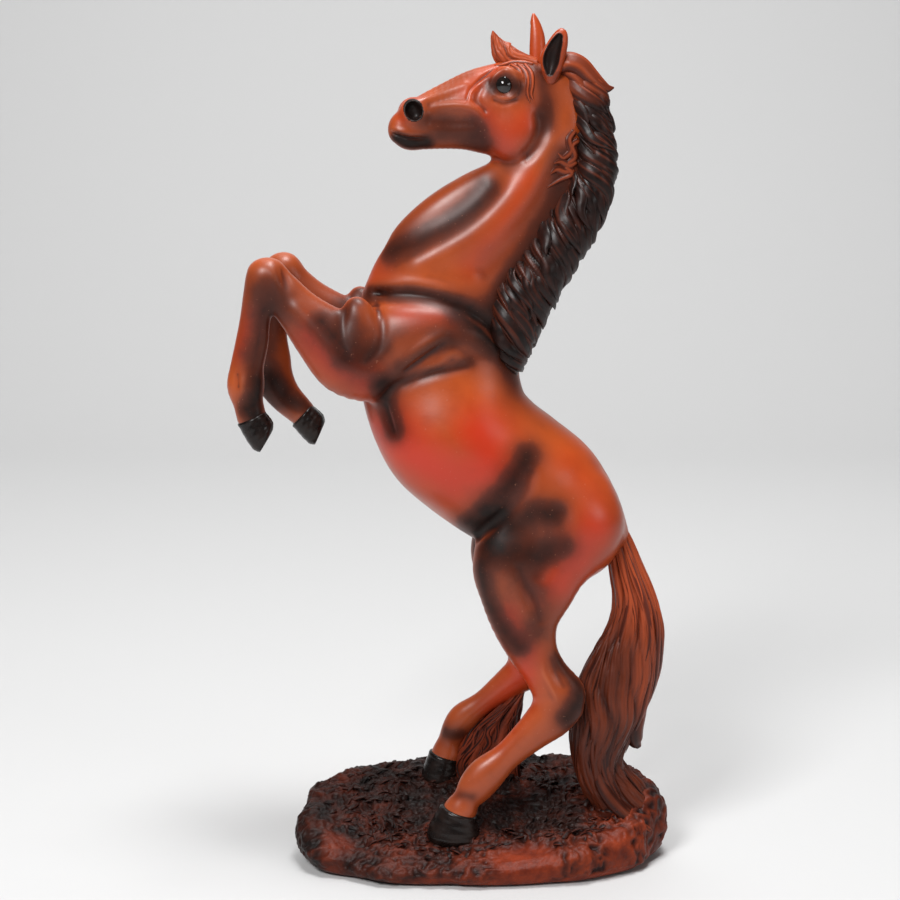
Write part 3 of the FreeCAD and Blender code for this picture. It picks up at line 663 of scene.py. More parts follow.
FORELOCK = [
    (27, 0, 376.4, 3.6, 5, 98), (19, 0, 378.4, 4.2, 5.6, 86), (13.4, -0.4, 380.2, 5.2, 4.8, 66),
    (10.8, -0.8, 382.8, 5, 3.6, 44), (8.8, -1, 386.2, 2.9, 2.2, 24), (7.2, -1.2, 389.6, 1.2, 1, 12),
    (6.5, -1.3, 392, 0.25, 0.25, 8),
]
TUFT = [
    (9, 25, 18, 16, 10, 0), (6, 25, 30, 16, 9, 0), (5.5, 24.5, 42, 15, 7.4, 8), (8, 24, 53, 13.2, 6.4, 14),
    (13, 23.5, 63, 10.4, 5.4, 22), (19, 23, 72, 5.6, 3.8, 28), (22.6, 22.6, 77, 1, 1, 30),
]


def scatter(n):
    """Share from 0 to 1 for the nth of any number of locks, evenly spread."""
    return n * 0.618 % 1


def tube_faces(rings, around, first=0):
    """Quads between neighbouring rings of this many points, then a face at each end."""
    grid = first + np.arange(rings * around).reshape(rings, around)
    across = np.roll(grid, -1, axis=1)
    quads = np.stack([grid[:-1], across[:-1], across[1:], grid[1:]], -1).reshape(-1, 4)
    return [*quads, grid[0][::-1], grid[-1]]


class Hair:
    """Collects locks into one mesh, with the height of each point on its strand from 0 to 1."""

    def __init__(self):
        self.verts, self.faces, self.ridge = [], [], []

    def tube(self, rings, ridge):
        """Closed tube round the rings of points."""
        first = sum(map(len, self.verts))
        self.faces += tube_faces(*rings.shape[:2], first)
        self.verts.append(rings.reshape(-1, 3))
        self.ridge.append(np.broadcast_to(ridge, rings.shape[:2]).ravel())

    def lock(self, path, width, thick, outward, strands=3, parts=5, twist=0.0):
        """Tapered lock along the path. Outward is one direction, or one for each point of the path."""
        sizes = [np.broadcast_to(np.reshape(size, (-1, 1)), (len(path), 1)) for size in (width, thick)]
        rows = refined(np.hstack([path, *sizes, np.broadcast_to(outward, (len(path), 3))]), parts)
        line, wide, deep = rows[:, None, :3], rows[:, 3, None, None], rows[:, 4, None, None]
        ahead = unit(np.gradient(rows[:, :3], axis=0))
        side = unit(np.cross(ahead, rows[:, 5:8]))
        up = np.cross(side, ahead)
        turns = 2 * np.pi * np.arange(LOCK_POINTS) / LOCK_POINTS
        groove = 0.5 + 0.5 * np.cos(strands * 2 * np.arccos(np.clip(np.cos(turns), -1, 1)) + twist)
        top = np.sin(turns) > 0
        high = np.sin(turns) * np.where(top, 0.72 + 0.42 * groove, 1.0)
        flat = side[:, None] * (np.cos(turns)[None, :, None] * wide)
        self.tube(line + flat + up[:, None] * (high[None, :, None] * deep), np.where(top, groove, 0.0))

    def finish(self, name, slot, **paint):
        """Makes the piece. Each kind of paint is a function of the points."""
        verts = np.vstack(self.verts)
        values = {key: shade(verts) for key, shade in paint.items()}
        make_piece(name, slot, verts, self.faces, {"ridge": np.concatenate(self.ridge), **values})


class Hank(Hair):
    """Bunch of hair along a run of sections. Its strands wind round it as the flow says."""

    def __init__(self, sections, flow, seed):
        super().__init__()
        self.fine = refined(sections, FINE_PARTS)
        self.last = len(sections) - 1
        self.flow = flow
        self.rng = np.random.default_rng(seed)

    def point(self, place, turn, raised):
        """Point on the surface. Place counts sections, and turn is the share of a turn round the run."""
        steps = np.arange(len(self.fine))
        x, y, z, depth, width, tilt = [np.interp(np.asarray(place) * FINE_PARTS, steps, column)
                                       for column in self.fine.T]
        tilt = np.radians(tilt)
        u = np.cos(2 * np.pi * turn) * (depth + raised)
        v = np.sin(2 * np.pi * turn) * (width + raised)
        return np.stack([x + u * np.cos(tilt), y + v, z + u * np.sin(tilt)], -1)

    def surface(self, along, around, counts, relief):
        """Closed skin with a relief of strands in three sizes."""
        place, turn = np.meshgrid(np.linspace(0, self.last, along), np.arange(around) / around, indexing="ij")
        ridge, height = 0, 0
        for size, (count, tall, share) in enumerate(zip(counts, relief, (0.5, 0.3, 0.2))):
            phase = 0.3 * np.sin(2 * np.pi * (turn * (size + 1) + 0.13 * place) + 2 * size)
            phase += 0.25 * np.sin(1.3 * place * (size + 1) + 4 * size)
            wave = np.abs(np.sin(np.pi * (count * (turn - self.flow(place)) + phase))) ** 0.75
            height = height + tall * (wave - 0.6)
            ridge = ridge + wave * share
        fade = np.clip(np.minimum(place, self.last - place) / 0.8, 0, 1)
        self.tube(self.point(place, turn, height * fade), ridge)

    def wound(self, start, turn, reach, width, raised, wave, strands):
        """Tapered lock that follows the winding and comes free at its tip."""
        shares = np.linspace(0, 1, 9)
        places = np.minimum(start + reach * shares, self.last)
        turns = turn + self.flow(places) - self.flow(start) + wave * np.sin(7 * shares + 3 * start)
        path = self.point(places, turns, raised * (np.sin(np.pi * shares * 0.5) + 0.9 * shares ** 4) - 0.6)
        out = path - self.point(places, turns, -3.0)
        wide = width * np.array([0.3, 0.75, 1, 1.05, 1, 0.9, 0.7, 0.45, 0.08])
        self.lock(path, wide, wide * 0.55, out, strands, 4, self.rng.uniform(0, 3))


def build_mane():
    hank = Hank(MANE, lambda place: 0.33 * place + 0.04 * np.sin(1.9 * place), 4)
    hank.surface(300, 210, (6, 13, 31), (2.3, 1.3, 0.55))
    draw = hank.rng.uniform
    for n in range(MANE_LOCKS):
        start = 0.4 + 9 * ((n + 0.5) / MANE_LOCKS) + draw(-0.2, 0.2)
        turn = 0.42 + 0.42 * scatter(n) if n % 3 else 0.3 * scatter(n)
        hank.wound(start, turn, draw(0.9, 1.7), draw(2.4, 4), draw(0.4, 1.8), 0.035,
                   int(hank.rng.integers(2, 5)))
    for n in range(17):
        hank.wound(0.3 + 9.3 * n / 17, 0.72 + draw(-0.04, 0.04), draw(0.75, 1.05), draw(2.6, 3.8),
                   draw(0.8, 2.0), 0.015, 3)
    for n in range(9):
        hank.wound(1.6 + n, 0.52, 1.4, 1.7, 0.5, 0.01, 2)
    # brown waves behind the ears, the first with a hooked tip
    hank.lock([(36, -5, 377), (41, -6.4, 378.4), (46, -6.2, 376.4), (50.5, -5.4, 372), (54.5, -4.4, 368.4),
               (58.2, -3.4, 366.4), (61.6, -2.6, 366.6)],
              [4.4, 5, 5, 4.6, 3.8, 2.4, 0.4], [3.2, 3.6, 3.6, 3.2, 2.6, 1.8, 0.4], (0.5, -1, 0.6))
    hank.lock([(38, -3, 376), (43.5, -4.6, 374), (48, -5.6, 369.6), (51, -6, 364), (52.4, -6, 358)],
              [4.2, 5.2, 5.2, 4.2, 1], [3, 3.6, 3.4, 2.8, 0.8], (0.2, -1, 0.3))
    hank.lock([(39, 3, 378), (45, 3.4, 376), (50, 3, 371), (54, 2.4, 364.6), (56.6, 1.6, 358)],
              [4, 5, 4.6, 3.4, 0.6], [3, 3.6, 3.4, 2.4, 0.5], (0.8, 0.8, 0.6))
    hank.finish("mane", "hair_paint", copper=lambda points: np.clip((points[:, 2] - 358) / 14, 0, 1) * 0.8)


def build_tail():
    hank = Hank(TAIL, lambda place: 0.012 * place + 0.03 * np.sin(0.9 * place + 1), 11)
    hank.surface(300, 220, (8, 21, 53), (1.5, 0.9, 0.4))
    draw = hank.rng.uniform
    for n in range(TAIL_LOCKS):
        hank.wound(draw(0.2, 8.4), scatter(n), draw(3, 4.6), draw(1.2, 2.4), draw(0.2, 0.8), 0.015,
                   int(hank.rng.integers(1, 3)))
    # lobe at the back
    for y, lift in ((-6, -1), (-2.5, 1.5), (1, 0), (4.5, 2)):
        path = [(77, y, 98), (78.2, y - 1, 86), (77.2, y - 1, 75), (75.4, y - 1, 66), (76, y, 59),
                (78, y, 55.4)]
        hank.lock(np.array(path) + [0, 0, lift], [1.6, 4, 5.2, 5.6, 4.6, 1.4], [1.2, 2.8, 3.8, 4.2, 3.4, 1.2],
                  (1, 0.1 * y, 0.2), 2)
    # foot that spreads on the ground
    for n in range(17):
        y = -17 + 1.7 * n
        sweep = draw(0, 5)
        path = [(58 + 0.1 * sweep, 0.55 * y - 3, 52), (58.6 + 0.3 * sweep, 0.8 * y - 2, 40),
                (65 + 0.5 * sweep, y - 2, 30), (74 + 0.6 * sweep, 1.05 * y - 2, 24 + 0.12 * y),
                (82 + 0.4 * sweep, 1.1 * y - 2, 20.5 + 0.2 * y)]
        hank.lock(path, [2, 3, 3.4, 3, 0.6], [1.4, 2, 2.4, 2, 0.5], (-0.2, 0.12 * (n - 8), 1), 2)
    hank.finish("tail", "hair_paint", copper=tail_copper)


def tail_copper(points):
    """The tail is painted like the coat at its root, and along its back edge lower down."""
    x, _, z = points.T
    root = np.clip((z - 108) / 40, 0, 1)
    back = np.clip((x - 67) / 10, 0, 1) * np.clip((z - 62) / 20, 0, 1)
    foot = np.clip((34 - z) / 14, 0, 1) * np.clip((x - 66) / 14, 0, 1)
    return np.clip(0.2 + root + 0.4 * back + 0.3 * foot, 0, 1)


FACE_STRANDS = [
    [(25, 377), (21, 377.8), (16, 378), (11.4, 376.8), (7.4, 376.2)],
    [(18, 377), (21.4, 373.4), (22.4, 369), (22.2, 364.6), (23.8, 359.4)],
    [(21, 377), (24, 373), (24.4, 368), (24, 363.6), (25.6, 360)],
    [(15, 376.8), (18.6, 374.2), (20.4, 370.6)],
]
NECK_CURLS = [
    [(46, 342.7), (42.8, 340.1), (44.2, 335.1), (40.4, 331.3), (43, 327.5), (37.9, 325), (31.6, 321.2)],
    [(44, 347), (41.5, 343), (42.5, 338), (39, 335), (36.5, 337)],
    [(45, 333), (41.7, 331.3), (37.8, 333.2), (34.6, 332.4)],
    [(44, 329), (40, 328.4), (36, 329.6), (33, 327.4)],
]


def build_forelock(clay):
    """Fin of hair over the forehead, a lock before the ear and curls on the neck."""
    fin = Hank(FORELOCK, lambda place: 0.03 * place, 5)
    fin.surface(90, 72, (4, 11, 23), (0.7, 0.5, 0.2))
    for n in range(8):
        fin.wound(0.5 + 0.2 * n, scatter(n), 2.6, 1.1, 0.3, 0.02, 2)
    for paths, size in ((FACE_STRANDS, 1), (NECK_CURLS, 1.4)):
        for path in paths:
            laid = seen(clay, path, 0.1)
            shares = np.linspace(0, 1, len(path))
            wide = np.interp(shares, [0, 0.3, 0.7, 1], [1.1, 1.5, 1.3, 0.3]) * size
            fin.lock(laid, wide, wide * 0.6, skin_normal(clay, laid), 2)
    fin.finish("forelock", "hair_paint", copper=lambda points: np.where(points[:, 2] < 350, 0.6, 1.0))


NEAR_EAR = [
    (32.6, -7.6, 370.5, 3, 3, 0), (33, -8.2, 375, 4.6, 3.6, 0), (33.3, -8.8, 380, 5.7, 3.8, 0),
    (34.9, -9.2, 384.6, 5.1, 3.4, 4), (36.1, -9.5, 388.2, 4.1, 2.7, 6), (36.9, -9.6, 390.8, 2.8, 1.9, 6),
    (37.1, -9.6, 392.3, 1.1, 0.9, 6),
]
NEAR_CUP = [
    (32, -12.2, 373.6, 1.8, 2.6, 0), (32.3, -13, 378, 3.6, 4, 0), (33.1, -13.2, 382.4, 3.5, 4, 2),
    (34.5, -12.8, 386, 2.7, 3.2, 4), (36, -12, 389.2, 1.4, 2, 6),
]
FAR_EAR = [
    (27, 6.4, 372, 3.4, 3, 0), (27.1, 7.2, 378, 3.9, 3.5, 0), (27, 7.8, 384, 4, 3.6, 0),
    (26.8, 8.2, 390, 3.5, 3.1, 0), (26, 8.4, 395.4, 2.3, 2, 0), (25.3, 8.5, 399, 0.9, 0.9, 0),
]
FAR_CUP = [
    (22.8, 9.4, 378, 2, 3, 0), (22.2, 9.8, 383, 2.6, 3.4, 0), (22.2, 9.8, 389, 2.4, 3, 0),
    (23, 9.4, 394, 1.3, 2, 0),
]


def build_ears():
    for name, shape, cup in (("left_ear", NEAR_EAR, NEAR_CUP), ("right_ear", FAR_EAR, FAR_CUP)):
        clay, hollow = Clay(), Clay()
        clay.add(run(shape, 6), 1)
        clay.carve(run(cup, 6), 0.8)
        hollow.add(run(cup, 6), 1)
        verts, quads = sculpt(clay, (18, -16, 366), (46, 16, 402), EAR_STEP, 2)
        dark = np.maximum(np.clip(1.3 - hollow.value(verts) * 1.8, 0, 1), 0.35 * (verts[:, 2] < 374))
        paint = {"dark": dark, "red": np.full(len(verts), 0.25), "hollow": hollows(verts, quads, 6)}
        make_piece(name, "coat_paint", verts, quads, paint)


def build_eyes(clay):
    near = seen(clay, [(11.9, 367.7)], -1.5)
    for name, place, out in (("left_eye", near[0], -1), ("right_eye", other_side(near, True)[0], 1)):
        eye = Clay()
        eye.add(ball(*place, 4.9, 4.0, 5.2), 1)
        eye.add(ball(*(place + [-0.2, out * 1.5, 0]), 2.4, 2.7, 2.3), 1.5)
        make_piece(name, "eye_gloss", *sculpt(eye, place - 6.5, place + 6.5, EYE_STEP, 2))


# Coronet and sole of each hoof, as (x, y, z, half length, half width, tilt).
HOOVES = {
    "left_fore_hoof": ((-104.3, -15.5, 217.3, 7.1, 6.7, 24), (-97.8, -15.5, 205.6, 9.3, 8.3, 59)),
    "right_fore_hoof": ((-83.2, 14.5, 213.4, 7, 6.7, 48), (-74.8, 14.5, 203.8, 9.3, 8.3, 66)),
    "left_hind_hoof": ((-8, -24, 29.4, 9, 7.8, -18), (-12.4, -24, 13.4, 16.4, 10.8, -4)),
    "right_hind_hoof": ((-14.7, 27, 39.6, 7.9, 7.5, -16), (-19.2, 27, 25, 11.4, 9.8, -4)),
}
HOOF_POINTS, HOOF_RINGS = 72, 26


def build_hooves():
    """Hooves with a coronary band, faint growth rings, a split heel and a dished sole."""
    turns = 2 * np.pi * np.arange(HOOF_POINTS) / HOOF_POINTS
    heel = np.exp(-(np.minimum(turns, 2 * np.pi - turns) / 0.22) ** 2)
    toe = np.exp(-((turns - np.pi) / 0.75) ** 2)
    squash = np.where(np.cos(turns) > 0, 0.88, 1.0)
    for name, (coronet, sole) in HOOVES.items():
        rings = []
        for n in range(HOOF_RINGS):
            t = n / (HOOF_RINGS - 1)
            x, y, z, a, b, tilt = np.array(coronet) * (1 - t) + np.array(sole) * t
            tilt = math.radians(tilt)
            band = 0.05 * math.exp(-((t - 0.06) / 0.07) ** 2) + 0.008 * math.sin(26 * t) * (0.2 < t < 0.9)
            band += 0.05 * math.sin(math.pi * t) - 0.2 * max(0, (t - 0.7) / 0.3) ** 2.2
            band -= 0.12 * max(0, (0.04 - t) / 0.04)
            outline = 1 + band - 0.16 * t * heel - 0.24 * t * toe
            u = np.cos(turns) * a * outline * squash
            rings.append(np.stack([x + u * math.cos(tilt), y + np.sin(turns) * b * outline,
                                   z + u * math.sin(tilt)], 1))
        rim, middle = rings[-1], rings[-1].mean(0)
        up = np.array([-math.sin(tilt), 0, math.cos(tilt)])
        for share, lift in ((0.9, 0.0), (0.78, 0.9), (0.4, 1.4), (0.12, 1.4)):
            rings.append(middle + (rim - middle) * share + up * lift)
        faces = tube_faces(len(rings), HOOF_POINTS)
        faces = [np.roll(face[::-1], 1) for face in faces[:-2]] + [face[::-1] for face in faces[-2:]]
        make_piece(name, "hoof_paint", np.vstack(rings), faces)


def lattice(cells, seed):
    """Repeatable random number from 0 to 1 for each integer cell."""
    n = cells[..., 0] * 73856093 ^ cells[..., 1] * 19349663 ^ cells[..., 2] * 83492791 ^ seed * 2654435
    n = (n ^ (n >> 13)) * 1274126177
    return ((n ^ (n >> 16)) & 0xFFFF) / 65535.0


def noise(points, scale, seed, octaves=3):
    """Smooth noise from -1 to 1 with features of about this scale in millimetres."""
    total = np.zeros(len(points))
    for octave in range(octaves):
        p = points / scale * 2 ** octave
        cell = np.floor(p).astype(np.int64)
        f = p - cell
        f = f * f * (3 - 2 * f)
        value = 0
        for c in np.ndindex(2, 2, 2):
            weight = np.prod(np.where(np.array(c), f, 1 - f), axis=1)
            value = value + weight * lattice(cell + c, seed + octave)
        total += (value * 2 - 1) / 2 ** octave
    return total / 1.75


GROUND_LEVELS = [  # height, share of the outline, share of the slope, share of the bank
    (1, 0.90, 0, 0), (1.2, 0.945, 0, 0), (2.6, 0.97, 0.05, 0.02), (5, 0.99, 0.13, 0.08), (9, 1.0, 0.3, 0.3),
    (13, 1.0, 0.5, 0.55), (17, 0.985, 0.72, 0.85), (20, 0.95, 0.92, 1.0), (21.6, 0.9, 1.0, 1.0),
]
GROUND_TURNS, GROUND_TOP_RINGS = 620, 100
GROUND_HALF_X, GROUND_HALF_Y = 87.0, 50.0
GROUND_Z, GROUND_SLOPE_X, GROUND_SLOPE_Y, GROUND_BANK = 21.5, 0.05, 0.24, 8.0
BARE_RINGS = 40             # rings at the middle of the top without blades of grass
BLADES = 620


def hump(value, middle, width):
    """1 at the middle, falling to 0 a width or two away."""
    return np.exp(-((value - middle) / width) ** 2)


def outline_point(turn):
    """Outline of the ground, with a stone that stands out at the front."""
    lobe = 1 + 0.02 * np.cos(3 * turn + 0.8) + 0.014 * np.cos(7 * turn) + 0.012 * np.cos(13 * turn + 1)
    lobe = lobe + 0.035 * hump(turn, 4.95, 0.16) - 0.02 * hump(turn, 4.6, 0.07)
    x, y = np.cos(turn), np.sin(turn)
    return (GROUND_HALF_X * lobe * np.sign(x) * np.abs(x) ** 0.86,
            GROUND_HALF_Y * lobe * np.sign(y) * np.abs(y) ** 0.86)


def stony(x, y):
    """1 on the smooth stones at the front, 0 on the grass."""
    left = 0.5 * np.exp(-(((x + 66) / 9) ** 2 + ((y + 30) / 9) ** 2) ** 2)
    middle = np.exp(-(((x - 22) / 17) ** 2 + ((y + 44) / 11) ** 2) ** 2)
    right = np.exp(-(((x - 66) / 9) ** 2 + ((y + 33) / 7) ** 2) ** 2)
    return np.clip(left + middle + 0.7 * right, 0, 1)


def ground_rings():
    """Rings of the smooth ground, from its underside out, up and in over the top."""
    turns = 2 * np.pi * np.arange(GROUND_TURNS) / GROUND_TURNS
    x, y = outline_point(turns)
    slope = GROUND_SLOPE_X * x + GROUND_SLOPE_Y * y
    levels = list(refined(GROUND_LEVELS, 6))
    for n in range(1, GROUND_TOP_RINGS):
        share = 0.9 * (1 - n / GROUND_TOP_RINGS) ** 0.9
        banked = np.clip((share - 0.35) / 0.55, 0, 1) ** 1.5
        levels.append((GROUND_Z + 2.2 * (1 - (share / 0.9) ** 2), share, 1, banked))
    bank = GROUND_BANK * np.cos(turns) ** 4
    return np.array([np.stack([x * share, y * share, z + rise * slope * share + banked * bank], 1)
                     for z, share, rise, banked in levels])


def build_ground():
    """Ground with a smooth rim and stones, and rough grass with blades on its top."""
    soil = Hair()
    soil.tube(ground_rings(), 0)
    verts = soil.verts[0]
    quads = np.array(soil.faces[:-2])
    normals = vertex_normals(verts, quads)
    rim = np.clip((7.5 + 3 * noise(verts, 16, 31) - verts[:, 2] + 0.05 * verts[:, 1]) / 2.5, 0, 1)
    stone = stony(verts[:, 0], verts[:, 1])
    rough = np.clip(1 - rim - stone, 0.05, 1)
    warp = verts + 3 * np.stack([noise(verts, 8, seed) for seed in (41, 43, 47)], 1)
    blades = 1 - np.abs(noise(warp * [1, 1, 0.55], 3.4, 8, 2)) * 2.2
    lumps = noise(verts, 15, 3)
    clods = 1 - np.abs(noise(warp, 7, 17, 2)) * 2
    fine = noise(verts, 1.5, 23, 2)
    height = 1.2 * lumps * (0.3 + 0.7 * rough) + 0.15 * fine * (1 - rough)
    height += rough * (1.6 * lumps + 1.2 * blades + 1.1 * clods + 0.4 * fine - 0.6)
    verts = verts + normals * (height * np.clip((verts[:, 2] - 1.05) / 3, 0, 1))[:, None]
    verts[:, 2] = np.maximum(verts[:, 2], 1.0)
    soil.verts[0] = verts
    soil.ridge[0] = np.clip(0.5 * blades + 0.5 * clods + 0.2 * fine, 0, 1)
    rim = np.maximum(rim * np.clip(0.7 + verts[:, 0] / 110, 0.1, 1), stone)
    inner = np.hypot(verts[:, 0] / GROUND_HALF_X, verts[:, 1] / GROUND_HALF_Y) < 0.86
    inner[-BARE_RINGS * GROUND_TURNS:] = False
    normals = vertex_normals(verts, quads)
    rng = np.random.default_rng(31)
    for place in rng.choice(np.flatnonzero((rough > 0.75) & inner), BLADES):
        add_blade(soil, rng, verts[place], normals[place])
    soil.finish("ground_casting", "ground_paint", dry=dryness,
                rim=lambda points: np.append(rim, np.zeros(len(points) - len(rim))))


def add_blade(soil, rng, place, out):
    """Bent blade of grass lying on the slope."""
    swirl = 5 * noise(place[None], 26, 77)[0] + rng.normal(0, 0.4)
    fall = np.array([math.cos(swirl), math.sin(swirl), -2.2 * (1 - out[2])])
    fall = unit(fall - out * (fall @ out))
    bend = np.cross(out, fall) * rng.uniform(-1.2, 1.2)
    fall *= rng.uniform(4, 8)
    root = place - out * 0.6
    path = [root, root + fall * 0.35 + out + bend * 0.5, root + fall * 0.7 + out * 0.9 + bend,
            root + fall + out * 0.2]
    soil.lock(path, [0.8, 1.2, 0.9, 0.15], [0.5, 0.6, 0.5, 0.15], out, 1, 2)


def dryness(points):
    """How much red-brown paint shows on the grass: more at the front and the right, less round the hooves
    under the horse, where its shadow is painted on.
    """
    x, y, z = points.T
    front = np.clip((-y - 6) / 34, 0, 1) * np.clip((x + 60) / 60, 0.15, 1)
    right = np.clip((x - 34) / 40, 0, 1)
    # darker under the horse round the hooves: painted shadow
    shade = hump(x, 30, 20) * hump(y, -14, 13) + hump(x, -22, 22) * hump(y, 20, 26)
    low = np.clip((16 - z) / 14, 0, 1)
    dry = 0.05 + 0.55 * front + 0.55 * right + 0.3 * low - 0.9 * shade + 0.4 * noise(points, 22, 91)
    return np.clip(dry, 0, 1)


def build_tuft():
    """Clump of long grass that props the right fetlock."""
    hank = Hank(TUFT, lambda place: 0.02 * place, 21)
    hank.surface(120, 110, (7, 15, 31), (1.4, 0.9, 0.4))
    draw = hank.rng.uniform
    for n in range(TUFT_LOCKS):
        hank.wound(draw(0.1, 2.6), scatter(n), draw(1.6, 3), draw(1, 1.9), draw(0.3, 1.2), 0.03, 2)
    hank.finish("support_tuft", "ground_paint", rim=lambda points: np.zeros(len(points)),
                dry=lambda points: np.clip((points[:, 2] - 24) / 16, 0.2, 0.8))


class Nodes:
    """Short way to write a material's nodes."""

    def __init__(self, name):
        self.material = bpy.data.materials.new(name)
        self.material.use_nodes = True
        self.tree = self.material.node_tree
        self.shader = self.tree.nodes["Principled BSDF"]

    def feed(self, node, inputs):
        """Sets inputs to numbers and colours, or links them to other nodes."""
        for key, value in inputs.items():
            if isinstance(value, (int, float)):
                node.inputs[key].default_value = value
            elif isinstance(value, tuple):
                node.inputs[key].default_value = (*value, 1)
            else:
                self.tree.links.new(value, node.inputs[key])

    def put(self, kind, inputs, **settings):
        node = self.tree.nodes.new(kind)
        for key, value in settings.items():
            setattr(node, key, value)
        self.feed(node, inputs)
        return node.outputs

    def attribute(self, name):
        return self.put("ShaderNodeAttribute", {}, attribute_name=name)["Fac"]

    def noise(self, scale, detail, rough=0.5):
        """Noise in the statue's own space. The scale is in features per metre."""
        place = self.put("ShaderNodeTexCoord", {})["Object"]
        inputs = {"Scale": scale, "Detail": detail, "Roughness": rough, "Vector": place}
        return self.put("ShaderNodeTexNoise", inputs)["Fac"]

    def math(self, operation, a, b, clamp=False):
        return self.put("ShaderNodeMath", {0: a, 1: b}, operation=operation, use_clamp=clamp)[0]

    def span(self, value, low, high, out_low=0.0, out_high=1.0):
        """The value mapped from one span to another, and clamped."""
        inputs = {"Value": value, "From Min": low, "From Max": high, "To Min": out_low, "To Max": out_high}
        return self.put("ShaderNodeMapRange", inputs)["Result"]

    def mix(self, share, a, b):
        """Colour between a and b. The node's sockets 6 and 7 take the colours, and 2 gives the result."""
        return self.put("ShaderNodeMix", {0: share, 6: a, 7: b}, data_type="RGBA")[2]

    def bump(self, height, depth, strength):
        """Relief of this depth in millimetres."""
        inputs = {"Distance": depth * MM, "Strength": strength, "Height": height}
        self.feed(self.shader, {"Normal": self.put("ShaderNodeBump", inputs)["Normal"]})

    def finish(self, colour, roughness, **others):
        self.feed(self.shader, {"Base Color": colour, "Roughness": roughness})
        self.feed(self.shader, {key.replace("_", " "): value for key, value in others.items()})
        return self.material


COPPER = (0.44, 0.070, 0.008)
COPPER_BROWN = (0.25, 0.042, 0.011)
VIVID_RED = (0.50, 0.026, 0.004)
DARK_BROWN = (0.075, 0.014, 0.007)
UMBER = (0.010, 0.0045, 0.0035)
CREVICE = (0.04, 0.006, 0.004)
SOOT = (0.006, 0.003, 0.0025)


def coat_material():
    n = Nodes("coat_paint")
    broad = n.noise(28, 3)
    mottle = n.noise(120, 5, 0.6)
    hollow, sprayed_dark = n.attribute("hollow"), n.attribute("dark")
    tone = n.span(n.math("ADD", broad, n.math("MULTIPLY", mottle, 0.4)), 0.45, 0.95)
    red = n.math("MULTIPLY", n.attribute("red"), n.span(broad, 0.3, 0.6, 0.8, 1.0), True)
    colour = n.mix(red, n.mix(tone, COPPER_BROWN, COPPER), VIVID_RED)
    colour = n.mix(n.span(hollow, 0.05, 0.5, 0.0, 0.85), colour, CREVICE)
    colour = n.mix(n.span(hollow, -0.12, -0.6, 0.0, 0.3), colour, (0.6, 0.16, 0.06))
    dark = n.math("ADD", sprayed_dark, n.span(mottle, 0.3, 0.7, -0.07, 0.07))
    colour = n.mix(n.span(dark, 0.03, 0.62, 0.0, 0.8), colour, DARK_BROWN)
    colour = n.mix(n.span(dark, 0.42, 1.0), colour, UMBER)
    speck = n.span(n.noise(900, 2), 0.7, 0.76)
    colour = n.mix(n.math("MULTIPLY", speck, 0.2), colour, (0.6, 0.25, 0.16))
    matt = n.math("MULTIPLY", sprayed_dark, 0.14)
    roughness = n.math("ADD", n.span(mottle, 0.3, 0.7, 0.30, 0.39), matt)
    grain = n.math("MULTIPLY", n.noise(1400, 2), 0.25)
    n.bump(n.math("ADD", n.math("MULTIPLY", n.noise(260, 4), 0.6), grain), 0.25, 0.3)
    return n.finish(colour, roughness, Coat_Weight=0.12, Coat_Roughness=0.28,
                    Specular_IOR_Level=n.span(sprayed_dark, 0.15, 0.9, 0.44, 0.14))


def hair_material():
    n = Nodes("hair_paint")
    mottle = n.noise(160, 5, 0.6)
    ridge = n.attribute("ridge")
    colour = n.mix(n.span(mottle, 0.35, 0.7), SOOT, (0.022, 0.006, 0.004))
    # lighter brown in patches on the tops of the strands: painted highlight
    ridge_highlight = n.math("MULTIPLY", n.span(ridge, 0.5, 1.0), n.span(n.noise(45, 2), 0.4, 0.62), True)
    colour = n.mix(n.math("MULTIPLY", ridge_highlight, 0.75, True), colour, (0.11, 0.022, 0.009))
    copper = n.mix(n.span(ridge, 0.15, 0.8), (0.10, 0.016, 0.007), (0.36, 0.062, 0.019))
    colour = n.mix(n.attribute("copper"), colour, copper)
    n.bump(n.noise(700, 3), 0.2, 0.25)
    return n.finish(colour, n.span(mottle, 0.3, 0.7, 0.3, 0.46), Specular_IOR_Level=0.24)


def ground_material():
    n = Nodes("ground_paint")
    mottle = n.noise(90, 6, 0.6)
    grit = n.noise(600, 4, 0.6)
    tone = n.span(mottle, 0.35, 0.65)
    dry = n.math("ADD", n.attribute("dry"), n.span(mottle, 0.3, 0.7, -0.25, 0.25), True)
    warm = n.mix(n.span(n.attribute("ridge"), 0.25, 0.95), (0.02, 0.004, 0.003), (0.2, 0.03, 0.010))
    colour = n.mix(dry, n.mix(tone, SOOT, (0.03, 0.008, 0.005)), warm)
    stone = n.mix(tone, (0.10, 0.013, 0.005), (0.26, 0.036, 0.010))
    colour = n.mix(n.span(n.attribute("rim"), 0.15, 0.85), colour, stone)
    n.bump(n.math("ADD", grit, n.math("MULTIPLY", mottle, 0.5)), 0.6, 0.5)
    return n.finish(colour, n.span(grit, 0.3, 0.7, 0.34, 0.5), Specular_IOR_Level=0.16)


def hoof_material():
    n = Nodes("hoof_paint")
    mottle = n.noise(200, 4)
    colour = n.mix(n.span(mottle, 0.4, 0.75), (0.007, 0.0045, 0.004), (0.016, 0.008, 0.006))
    n.bump(n.noise(500, 3), 0.3, 0.35)
    return n.finish(colour, n.span(mottle, 0.3, 0.7, 0.22, 0.36), Coat_Weight=0.1, Specular_IOR_Level=0.22)


def eye_material():
    n = Nodes("eye_gloss")
    mottle = n.noise(700, 2)
    colour = n.mix(n.span(mottle, 0.4, 0.7), (0.003, 0.0025, 0.0025), (0.012, 0.006, 0.004))
    n.bump(mottle, 0.05, 0.2)
    return n.finish(colour, 0.12, Coat_Weight=0.4, Coat_Roughness=0.03)


